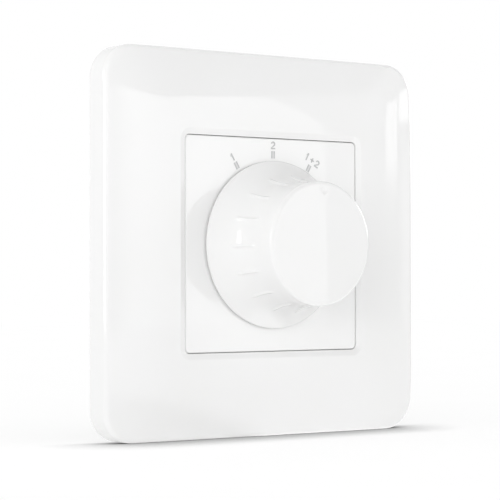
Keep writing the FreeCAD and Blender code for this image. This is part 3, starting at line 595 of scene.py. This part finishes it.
# %% Knob tree, ribs
def hump(value, reach):
    """1 at zero, falling smoothly to 0 at reach on both sides."""
    share = work("MINIMUM", work("DIVIDE", work("ABSOLUTE", value), reach), 1.0)
    wave = work("COSINE", work("MULTIPLY", share, math.pi))
    return work("MULTIPLY", work("ADD", wave, 1.0), 0.5)


def ramp(value, start, run):
    """0 up to start, then rising smoothly to 1 over a run."""
    return smooth_step(tree, value, start, work("ADD", start, run))


across = hump(sideways, given["Rib width"])
up = ramp(height, given["Rib start"], given["Rib ramp"])
fade_start = work("SUBTRACT", given["Rib end"], given["Rib ramp"])
down = work("SUBTRACT", 1.0, ramp(height, fade_start, given["Rib ramp"]))
shape = work("MULTIPLY", across, work("MULTIPLY", up, down))
rise = work("MULTIPLY", shape, work("MULTIPLY", given["Rib rise"], ribbed_share))
reach = work("ADD", radius, rise)
right = work("MULTIPLY", reach, work("COSINE", angle))
upward = work("MULTIPLY", reach, work("SINE", angle))
print("nodes up to the ribs", len(tree.nodes))

# %% Knob tree, index hollow
index_right = work("MULTIPLY", given["Index place"], work("COSINE", given["Index angle"]))
index_up = work("MULTIPLY", given["Index place"], work("SINE", given["Index angle"]))
off = distance(work, work("SUBTRACT", right, index_right), work("SUBTRACT", upward, index_up))
share = work("DIVIDE", off, given["Index radius"])
bowl = work("MAXIMUM", work("SUBTRACT", 1.0, work("MULTIPLY", share, share)), 0.0)
on_front = work("GREATER_THAN", height, (LENGTH - 0.01) * MM)
sunk = work("MULTIPLY", work("MULTIPLY", bowl, given["Index depth"]), on_front)
depth = work("SUBTRACT", given["Plate face"], work("SUBTRACT", height, sunk))
print("nodes up to the hollow", len(tree.nodes))

# %% Knob tree, the finished body
def close_tree(tree, geometry, material):
    """Makes the geometry real, gives it its material and ends the tree."""
    real = add(tree, "GeometryNodeRealizeInstances", {"Geometry": geometry})
    dressed = add(tree, "GeometryNodeSetMaterial", {"Geometry": real.outputs[0], "Material": material})
    feed(tree, add(tree, "NodeGroupOutput").inputs[0], dressed.outputs[0])
    print(tree.name, "has", len(tree.nodes), "nodes")


place = add(tree, "ShaderNodeCombineXYZ", {"X": right, "Y": depth, "Z": upward})
moved = add(tree, "GeometryNodeSetPosition", {"Geometry": grid.outputs[0], "Position": place.outputs[0]})
merged = add(tree, "GeometryNodeMergeByDistance", {"Geometry": moved.outputs[0], "Distance": 1e-7})
smooth = add(tree, "GeometryNodeSetShadeSmooth", {"Geometry": merged.outputs[0]})
close_tree(tree, smooth.outputs[0], given["Material"])

# %% Run the knob tree
def run_tree(piece, tree, material):
    """Runs a node tree on an object and leaves the plain mesh."""
    modifier = piece.modifiers.new("nodes", "NODES")
    modifier.node_group = tree
    modifier[tree.interface.items_tree["Material"].identifier] = material
    keep_result(piece, modifier)


run_tree(knob, tree, knob_white)
print("knob", len(knob.data.vertices), "points,", len(knob.data.polygons), "faces")

# %% [markdown]
# The front of the knob has one small hollow, the index that points at the chosen figure. The
# section has close rows there, and the tree sinks their points along a shallow bowl. It also
# merges the seam of the grid, so what is left is to turn the faces outwards and keep the few
# hard edges sharp.

# %% Knob normals
def facing_out(piece):
    """Merges double points, turns the faces outwards and counts the open edges."""
    work = bmesh.new()
    work.from_mesh(piece.data)
    bmesh.ops.remove_doubles(work, verts=work.verts, dist=1e-8)
    turn_outwards(work)
    work.to_mesh(piece.data)
    open_edges = sum(1 for e in work.edges if not e.is_manifold)
    work.free()
    return open_edges


print("open edges of the knob", facing_out(knob))
knob.data.set_sharp_from_angle(angle=math.radians(50))

# %% Put the knob on its body
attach(knob, "knob_and_rotor")
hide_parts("knob")

# %% [markdown]
# ## Metal finishes
# Behind the plate every part is stamped, turned or cast, and each way of making leaves its own
# marks. Rolled and plated sheet has long fine lines and slow cloudy changes of tone. Turned
# parts have rings round their axis, which is Y here, so their noise is stretched across X and
# Z and fine along Y. Cast parts are grainy. All of this is noise on Object coordinates with a
# different stretch for each way of making, and it drives roughness and a very small bump.

# %% Metal helper
def metal(name, dark, light, roughness, grain, stretch, depth):
    """A bare or plated metal: cloudy tone, marks of the making, and a bump of a given depth."""
    low, high = roughness
    made, tree, shader = finish(name, light, (low + high) / 2, metal=1.0)
    marks = noise(tree, grain, 3, stretch)
    feed(tree, shader.inputs["Base Color"], tones(tree, noise(tree, 160, 3), dark, light))
    feed(tree, shader.inputs["Roughness"], spread(tree, marks, low, high))
    relief(tree, shader, marks, depth)
    return made


ROUND, SHEET, GRAINY = (0.05, 1, 0.05), (1, 1, 0.04), (1, 1, 1)
zinc_steel = metal("zinc_steel", (0.36, 0.37, 0.37), (0.47, 0.48, 0.47), (0.46, 0.6), 3000, SHEET, 3e-6)
cast_zinc = metal("cast_zinc", (0.3, 0.3, 0.31), (0.4, 0.4, 0.41), (0.45, 0.6), 2600, GRAINY, 1e-5)
nickel_brass = metal("nickel_brass", (0.5, 0.48, 0.42), (0.6, 0.57, 0.5), (0.16, 0.28), 4000, ROUND, 2e-6)
aluminium = metal("shaft_aluminium", (0.5, 0.5, 0.52), (0.62, 0.62, 0.64), (0.22, 0.36), 5000, ROUND, 3e-6)
spring_steel = metal("spring_steel", (0.3, 0.3, 0.32), (0.42, 0.42, 0.43), (0.2, 0.34), 3500, SHEET, 2e-6)
brass = metal("contact_brass", (0.42, 0.27, 0.09), (0.6, 0.42, 0.17), (0.2, 0.38), 2200, GRAINY, 3e-6)
terminal_steel = metal(
    "terminal_steel", (0.4, 0.39, 0.36), (0.53, 0.52, 0.49), (0.26, 0.42), 3000, GRAINY, 4e-6)
solder = metal("solder", (0.44, 0.44, 0.46), (0.6, 0.6, 0.62), (0.16, 0.42), 1400, GRAINY, 2e-5)
metals = (zinc_steel, cast_zinc, nickel_brass, aluminium, spring_steel, brass, terminal_steel, solder)
print("metals", [m.name for m in metals])

# %% [markdown]
# ## Dull plastics and laminates
# Moulds for inner parts are left with a spark-eroded skin, which is a fine even grain. The
# stator is paper soaked in resin: brown, with fibres that lie along X and thin layers through
# its thickness. The circuit board is glass cloth under green lacquer, and the weave shows as a
# faint grid, nearly a millimetre from thread to thread.

# %% Plastic helper
def satin(name, dark, light, roughness, depth):
    """A moulded plastic with an eroded skin."""
    low, high = roughness
    made, tree, shader = finish(name, light, (low + high) / 2)
    skin = noise(tree, 3200, 3)
    feed(tree, shader.inputs["Base Color"], tones(tree, noise(tree, 220, 3), dark, light))
    feed(tree, shader.inputs["Roughness"], spread(tree, skin, low, high))
    relief(tree, shader, skin, depth)
    return made


black_plastic = satin("black_plastic", (0.022, 0.022, 0.024), (0.036, 0.036, 0.038), (0.4, 0.55), 1.2e-5)
ivory_plastic = satin("ivory_plastic", (0.62, 0.59, 0.5), (0.7, 0.67, 0.58), (0.32, 0.45), 6e-6)
terminal_plastic = satin("terminal_plastic", (0.03, 0.2, 0.1), (0.045, 0.26, 0.14), (0.35, 0.5), 1e-5)
print("plastics", [m.name for m in (black_plastic, ivory_plastic, terminal_plastic)])

# %% Laminates
brown_laminate, tree, shader = finish("brown_laminate", (0.13, 0.065, 0.035), 0.5)
fibres = noise(tree, 1500, 4, (0.08, 1, 1))
feed(tree, shader.inputs["Base Color"], tones(tree, fibres, (0.085, 0.04, 0.02), (0.17, 0.09, 0.05)))
feed(tree, shader.inputs["Roughness"], spread(tree, fibres, 0.38, 0.55))
relief(tree, shader, fibres, 8e-6)


THREADS = 330.0     # scale of the wave; a band comes every 2 pi / (20 * 330) metres


def threads(tree, direction):
    """Rounded bands along X or Z, one for each thread of the cloth."""
    place = add(tree, "ShaderNodeTexCoord").outputs["Object"]
    return add(tree, "ShaderNodeTexWave", {"Vector": place, "Scale": THREADS, "Distortion": 0.6,
                                           "Detail": 1.0, "Detail Scale": 0.5},
               bands_direction=direction).outputs["Fac"]


board_green, tree, shader = finish("board_laminate", (0.02, 0.15, 0.06), 0.3)
work = arithmetic(tree)
weave = work("MULTIPLY", work("ADD", threads(tree, "X"), threads(tree, "Z")), 0.5)
mixed = work("ADD", work("MULTIPLY", weave, 0.35), work("MULTIPLY", noise(tree, 260, 3), 0.65))
feed(tree, shader.inputs["Base Color"], tones(tree, mixed, (0.012, 0.1, 0.04), (0.025, 0.17, 0.07)))
feed(tree, shader.inputs["Roughness"], spread(tree, weave, 0.24, 0.34))
relief(tree, shader, weave, 6e-6)

track_green, tree, shader = finish("track_green", (0.05, 0.25, 0.1), 0.28)
greens = tones(tree, noise(tree, 700, 3), (0.035, 0.21, 0.08), (0.06, 0.29, 0.12))
feed(tree, shader.inputs["Base Color"], greens)
feed(tree, shader.inputs["Roughness"], spread(tree, noise(tree, 1800, 2), 0.22, 0.34))
print("laminates", brown_laminate.name, board_green.name, track_green.name)

# %% Dress the measured parts
finishes = {
    zinc_steel: ("support_frame", "lock_washer", "bushing_nut", "plate_washer", "front_retaining_ring",
                 "rear_retaining_ring", "spacer_screws", "board_screws", "stop_ring", "stop_arm"),
    cast_zinc: ("mounting_bushing",),
    nickel_brass: ("plate_nut", "board_spacers"),
    aluminium: ("shaft", "tie_rivets"),
    black_plastic: ("switch_housing", "rotor"),
    brown_laminate: ("stator",),
    ivory_plastic: ("detent_wheel",),
    spring_steel: ("detent_spring", "knob_clip", "contact_springs"),
    brass: ("moving_contacts", "fixed_contacts", "terminal_pins"),
    board_green: ("circuit_board",),
    terminal_plastic: ("terminal_block_input", "terminal_block_first", "terminal_block_second"),
    terminal_steel: ("terminal_clamps", "terminal_screws"),
    solder: ("solder_joints",),
}
bare = set(nodes) - {"dial_marks"}
for material, names in finishes.items():
    for name in names:
        dress(name, material)
    bare -= set(names)
print("made again as meshes:", sorted(bare))

# %% [markdown]
# ## Copper tracks on the circuit board
# On the back of the board, copper tracks lead from the switch's pins to the terminal blocks.
# They lie under the lacquer, as low ridges of a lighter green. A track is a path with cut
# corners and a flat section, so Geometry Nodes make it: the object holds straight runs of
# edges, the tree turns them into curves, cuts the corners, sweeps a round bar along them and
# presses the bar flat. The plan is drawn lying down and stood up on the board at the end.

# %% Pins of the switch and the terminals
BOARD_BACK = 15.8
WAY_RADIUS, COMMON_RADIUS = 9.6, 5.0
SIDE_PINS, LOW_PINS = 16.1, -15.1


def pin(radius, degrees):
    """A pin of the switch as (x, z), on a circle round the shaft."""
    return radius * math.cos(math.radians(degrees)), radius * math.sin(math.radians(degrees))


poles = [45 + 90 * n for n in range(4)]
pins = [pin(COMMON_RADIUS, pole) for pole in poles]
pins += [pin(WAY_RADIUS, pole + turn) for pole in poles for turn in (-30, 0, 30)]
print("pins of the switch", len(pins))

# %% Plan of the tracks
def track_plan():
    """Runs of points for the right half of the board; the left half mirrors them."""
    runs = [
        [(7.5, LOW_PINS), (7.5, -12.0), pin(WAY_RADIUS, -60), pin(COMMON_RADIUS, -45)],
        [(2.5, LOW_PINS), (0.8, -12.6), (0.8, -0.6), pin(COMMON_RADIUS, 45)],
        [pin(WAY_RADIUS, 15), (SIDE_PINS, 2.5)],
        [pin(WAY_RADIUS, -15), (SIDE_PINS, -2.5)],
        [pin(WAY_RADIUS, 75), (5.2, 9.2), pin(WAY_RADIUS, 45), (9.5, 7.5), (SIDE_PINS, 7.5)],
        [pin(WAY_RADIUS, -45), (9.5, -7.5), (SIDE_PINS, -7.5)],
    ]
    return runs + [[(-x, z) for x, z in run] for run in runs]


plan = bpy.data.meshes.new("track_plan")
corners, edges = [], []
for run in track_plan():
    edges += [(len(corners) + n, len(corners) + n + 1) for n in range(len(run) - 1)]
    corners += [(x * MM, z * MM, 0) for x, z in run]
plan.from_pydata(corners, edges, [])
tracks = new_object("board_tracks", plan)
print("tracks", len(track_plan()), "with", len(corners), "corners")

# %% Track tree
tree, given, work = open_tree("pressed_tracks", "Plan", {
    "Width": 0.0009, "Thickness": 0.00008, "Corner radius": 0.0012, "Board face": BOARD_BACK * MM})
lines = add(tree, "GeometryNodeMeshToCurve", {0: given["Plan"]})
cut = add(tree, "GeometryNodeFilletCurve", {"Curve": lines.outputs[0], "Radius": given["Corner radius"],
                                            "Count": 1, "Limit Radius": True}, mode="POLY")
half_width = work("MULTIPLY", given["Width"], 0.5)
bar = add(tree, "GeometryNodeCurvePrimitiveCircle", {"Resolution": 12, "Radius": half_width})
swept_bar = add(tree, "GeometryNodeCurveToMesh", {"Curve": cut.outputs[0], "Profile Curve": bar.outputs[0],
                                                  "Fill Caps": True})
at = xyz(tree, add(tree, "GeometryNodeInputPosition").outputs[0])
squeeze = work("DIVIDE", given["Thickness"], given["Width"])
depth = work("ADD", given["Board face"], work("MULTIPLY", at["Z"], squeeze))
stood = add(tree, "ShaderNodeCombineXYZ", {"X": at["X"], "Y": depth, "Z": at["Y"]})
pressed = add(tree, "GeometryNodeSetPosition", {"Geometry": swept_bar.outputs[0],
                                                "Position": stood.outputs[0]})
close_tree(tree, pressed.outputs[0], given["Material"])

# %% Put the tracks on the board
run_tree(tracks, tree, track_green)
print("open edges of the tracks", facing_out(tracks))
tracks.data.shade_smooth()
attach(tracks, "base")
print("tracks", len(tracks.data.polygons), "faces, box", [round(v / MM, 2) for v in tracks.dimensions])

# %% [markdown]
# ## Solder pads
# Each pin stands in a round tinned pad, which shows as a bright ring round its solder. The pads
# are all alike and sit on known points, so they are instances of one low disc. A closed disc
# has no back side to get wrong, and half of it is sunk in the board.

# %% Pad tree
tree, given, work = open_tree("pads_on_pins", "Pins", {"Pad radius": 0.0014, "Pad height": 0.00012})
disc = add(tree, "GeometryNodeMeshCylinder", {"Vertices": 32, "Radius": given["Pad radius"],
                                              "Depth": given["Pad height"]})
quarter_turn = (math.pi / 2, 0.0, 0.0)
placed = add(tree, "GeometryNodeInstanceOnPoints", {"Points": given["Pins"], "Instance": disc.outputs[0],
                                                    "Rotation": quarter_turn})
close_tree(tree, placed.outputs[0], given["Material"])

# %% Put the pads on the board
mesh = bpy.data.meshes.new("pad_points")
mesh.from_pydata([(x * MM, BOARD_BACK * MM, z * MM) for x, z in pins], [], [])
pads = new_object("solder_pads", mesh)
run_tree(pads, tree, solder)
print("open edges of the pads", facing_out(pads))
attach(pads, "base")
print("pads", len(pins), "with", len(pads.data.polygons), "faces")

# %% [markdown]
# ## Background and light
# The plate stands in a white studio. Lamps could be placed round it one by one, but here the
# world gives all light as a function of direction, which keeps every level in one place.
# Azimuth is counted from the front, -Y, towards the right, +X, and height from the horizon,
# both in degrees. Soft levels from each side light the dull part of the colour. Panels with
# clear edges show in the gloss as reflections: a main one right of the front with a weaker
# surround, and three small ones further right that look like a window. Two lamps far to the
# sides are for mirror reflections alone, as narrow highlights on round forms. What the camera
# sees behind the object is plain white of strength 1, and so is the background in glossy and
# clear surfaces, with the panels on it.

# %% World directions
world = bpy.data.worlds.new("studio")
bpy.context.scene.world = world
world.use_nodes = True
sky = world.node_tree
calc = arithmetic(sky)
DEGREES = 180 / math.pi


def chain(work, operation, *values):
    """The sum or the product of several values."""
    result = values[0]
    for value in values[1:]:
        result = work(operation, result, value)
    return result


def level(tree, name, value, strength):
    """A light's value times its strength, in a node with the light's name."""
    made = add(tree, "ShaderNodeMath", {0: value, 1: strength}, operation="MULTIPLY")
    made.name = name
    return made.outputs[0]


way = xyz(sky, add(sky, "ShaderNodeTexCoord").outputs["Generated"])
azimuth = calc("MULTIPLY", calc("ARCTAN2", way["X"], calc("MULTIPLY", way["Y"], -1.0)), DEGREES)
height = calc("MULTIPLY", calc("ARCSINE", way["Z"]), DEGREES)
upper = calc("MAXIMUM", way["Z"], 0.0)
to_left = calc("MAXIMUM", calc("MULTIPLY", way["X"], -1.0), 0.0)
to_right = calc("MAXIMUM", way["X"], 0.0)
to_front = calc("MAXIMUM", calc("MULTIPLY", way["Y"], -1.0), 0.0)
to_back = calc("MAXIMUM", way["Y"], 0.0)
print("world directions in", len(sky.nodes), "nodes")

# %% Soft levels
def side(name, strength, value):
    """Soft light that grows towards one side."""
    return level(sky, name, calc("MAXIMUM", value, 0.0), strength)


def band(value):
    """Soft light near the horizon, which fades towards the top."""
    return calc("MULTIPLY", value, calc("POWER", calc("SUBTRACT", 1.0, upper), 2.0))


def gentle(value):
    """Soft light that fades more slowly towards the top."""
    return calc("MULTIPLY", value, calc("SUBTRACT", 1.0, upper))


left_front = chain(calc, "MULTIPLY", to_left, to_left, calc("SUBTRACT", 1.0, to_back))
soft_levels = [
    side("level_left", 2.35, gentle(left_front)),
    side("level_corner", 2.9, band(calc("MULTIPLY", to_left, to_front))),
    side("level_top", 0.66, way["Z"]),
    side("level_front", 0.6, band(to_front)),
    side("level_back", 1.2, calc("MULTIPLY", to_back, upper)),
    side("level_behind", 0.6, band(calc("MULTIPLY", to_right, to_back))),
]
print(len(soft_levels), "soft levels")

# %% Main panel and its surround
# Edges and softness in degrees. The main panel's outline is a slanted one.
MAIN_LEFT, MAIN_RIGHT, MAIN_TOP, MAIN_LOW = 7.0, 38.6, 10.6, -16.0
RIGHT_SLOPE, TOP_SLOPE, LOW_SLOPE = -0.02, 0.07, 0.3
LIFT_FROM, LIFT_SLOPE = 34.0, 0.6          # beyond this azimuth the top edge climbs faster
SURROUND_LEFT, SURROUND_RIGHT, SURROUND_RISE = -2.0, 77.0, 0.6


def rising(value, at, soft):
    """0 below a limit and 1 above it, with a soft edge."""
    return smooth_step(sky, value, calc("SUBTRACT", at, soft), calc("ADD", at, soft))


def falling(value, at, soft):
    """1 below a limit and 0 above it, with a soft edge."""
    return calc("SUBTRACT", 1.0, rising(value, at, soft))


slant = calc("ADD", calc("MULTIPLY", azimuth, TOP_SLOPE), MAIN_TOP)
lift = calc("MULTIPLY", calc("MAXIMUM", calc("SUBTRACT", azimuth, LIFT_FROM), 0.0), LIFT_SLOPE)
main_top = calc("ADD", slant, lift)
main_right = calc("ADD", calc("MULTIPLY", height, RIGHT_SLOPE), MAIN_RIGHT)
main_low = calc("ADD", calc("MULTIPLY", azimuth, LOW_SLOPE), MAIN_LOW)
main = chain(calc, "MULTIPLY", rising(azimuth, MAIN_LEFT, 7.0), falling(azimuth, main_right, 0.02),
             falling(height, main_top, 0.1), rising(height, main_low, 5.0))
surround_top = calc("ADD", main_top, SURROUND_RISE)
surround = chain(calc, "MULTIPLY", rising(azimuth, SURROUND_LEFT, 16.0),
                 falling(azimuth, SURROUND_RIGHT, 4.0), falling(height, surround_top, 0.6))
panels = [level(sky, "panel_main", main, 1.0), level(sky, "panel_surround", surround, 0.7)]
print("large panels", len(panels))

# %% Window and side lamps
def lamp(name, strength, left, right, low, high, edge):
    """A panel of light between two azimuths and two heights."""
    inside = chain(calc, "MULTIPLY", rising(azimuth, left, edge), falling(azimuth, right, edge),
                   rising(height, low, edge), falling(height, high, edge))
    return level(sky, name, inside, strength)


panels += [
    lamp("window_near", 1.6, 53.5, 62.5, 3.0, 12.5, 0.8),
    lamp("window_far", 1.8, 64.0, 73.0, 5.5, 14.0, 0.8),
    lamp("window_low", 0.5, 66.0, 75.0, -20.0, 4.0, 2.0),
]
mirror_lamps = [
    lamp("lamp_left", 5.0, -131.0, -100.0, -5.0, 18.0, 1.5),
    lamp("lamp_right", 6.0, 95.0, 118.0, 4.0, 18.0, 2.0),
]
print(len(panels), "panels and", len(mirror_lamps), "lamps for mirror reflections")

# %% World output
seen = add(sky, "ShaderNodeLightPath").outputs
mirrored = calc("MAXIMUM", seen["Is Glossy Ray"], seen["Is Transmission Ray"])
white = calc("MAXIMUM", seen["Is Camera Ray"], mirrored)
soft_light = calc("MULTIPLY", chain(calc, "ADD", *soft_levels), calc("SUBTRACT", 1.0, white))
unseen = calc("SUBTRACT", 1.0, seen["Is Camera Ray"])
panel_light = calc("MULTIPLY", chain(calc, "ADD", *panels), unseen)
mirror_light = calc("MULTIPLY", chain(calc, "ADD", *mirror_lamps), seen["Is Glossy Ray"])
strength = calc("ADD", calc("ADD", soft_light, white), calc("ADD", panel_light, mirror_light))
background = sky.nodes["Background"]
background.inputs["Color"].default_value = (1, 1, 1, 1)
feed(sky, background.inputs["Strength"], strength)
print("world has", len(sky.nodes), "nodes")

# %% [markdown]
# ## The table
# The plate stands on a white table that runs into the white background, with a small dark
# shade only where it touches. Under this light a plain white sheet would show a wide shadow,
# so the shade is drawn: an Ambient Occlusion node finds where the sheet is covered close by,
# in front of the wall side alone. For the camera, half of the sheet's colour is replaced by a
# glow, and both fade in the shade. Other rays see the full colour and a glow of their own: a
# shine for mirror reflections, stronger in front, and a bounce for dull surfaces.

# %% Table finish
CONTACT_REACH = 0.014                          # metres
WALL_SIDE_FROM, WALL_SIDE_TO = -0.005, 0.002   # along Y; behind this no shade is drawn
COLOUR_SHARE, GLOW = 0.5, 0.68                 # for the camera
SHINE, FRONT_SHINE, CLEAR, BOUNCE = 0.36, 1.1, 0.36, 0.26
table_white, tree, shader = finish("table_white", (0.8, 0.8, 0.8), 0.9)
shader.inputs["Specular IOR Level"].default_value = 0.0
shader.inputs["Emission Color"].default_value = (1, 1, 1, 1)
work = arithmetic(tree)
at = xyz(tree, add(tree, "ShaderNodeTexCoord").outputs["Object"])
seen = add(tree, "ShaderNodeLightPath").outputs
contact = add(tree, "ShaderNodeAmbientOcclusion", {"Distance": CONTACT_REACH}, samples=8).outputs["AO"]
unshaded = work("MAXIMUM", contact, smooth_step(tree, at["Y"], WALL_SIDE_FROM, WALL_SIDE_TO))
taken_away = work("SUBTRACT", 1.0, work("MULTIPLY", unshaded, COLOUR_SHARE))
colour_left = work("SUBTRACT", 1.0, work("MULTIPLY", seen["Is Camera Ray"], taken_away))
spots = tones(tree, noise(tree, 30, 2), (0.79, 0.79, 0.79), (0.81, 0.81, 0.81))
feed(tree, shader.inputs["Base Color"], blend(tree, colour_left, (0.0, 0.0, 0.0, 1), spots))
around = work("MULTIPLY", work("ARCTAN2", at["X"], work("MULTIPLY", at["Y"], -1.0)), DEGREES)
past_right = smooth_step(tree, around, 70.0, 110.0)
in_front = work("MULTIPLY", smooth_step(tree, around, -45.0, 0.0), work("SUBTRACT", 1.0, past_right))
front_shine = work("ADD", SHINE, work("MULTIPLY", in_front, FRONT_SHINE))
feed(tree, shader.inputs["Emission Strength"], chain(
    work, "ADD",
    level(tree, "glow", seen["Is Camera Ray"], work("MULTIPLY", unshaded, GLOW)),
    level(tree, "shine", seen["Is Glossy Ray"], front_shine),
    level(tree, "clear", seen["Is Transmission Ray"], CLEAR),
    level(tree, "bounce", seen["Is Diffuse Ray"], BOUNCE)))
print("table finish has", len(tree.nodes), "nodes")

# %% Table
TABLE_HALF = 0.9
square = [(-1, -1), (1, -1), (1, 1), (-1, 1)]
mesh = bpy.data.meshes.new("table")
mesh.from_pydata([(x * TABLE_HALF, y * TABLE_HALF, -HALF * MM) for x, y in square], [], [(0, 1, 2, 3)])
mesh.materials.append(table_white)
table = new_object("table", mesh)
print("table at", round(table.data.vertices[0].co.z, 5))

# %% [markdown]
# ## Colours as they are
# The usual film-like view transform turns plain white a little grey. The studio's white has to
# stay white, so the plain transform is used.

# %% Plain render settings
bpy.context.scene.view_settings.view_transform = "Standard"
print("view transform", bpy.context.scene.view_settings.view_transform)
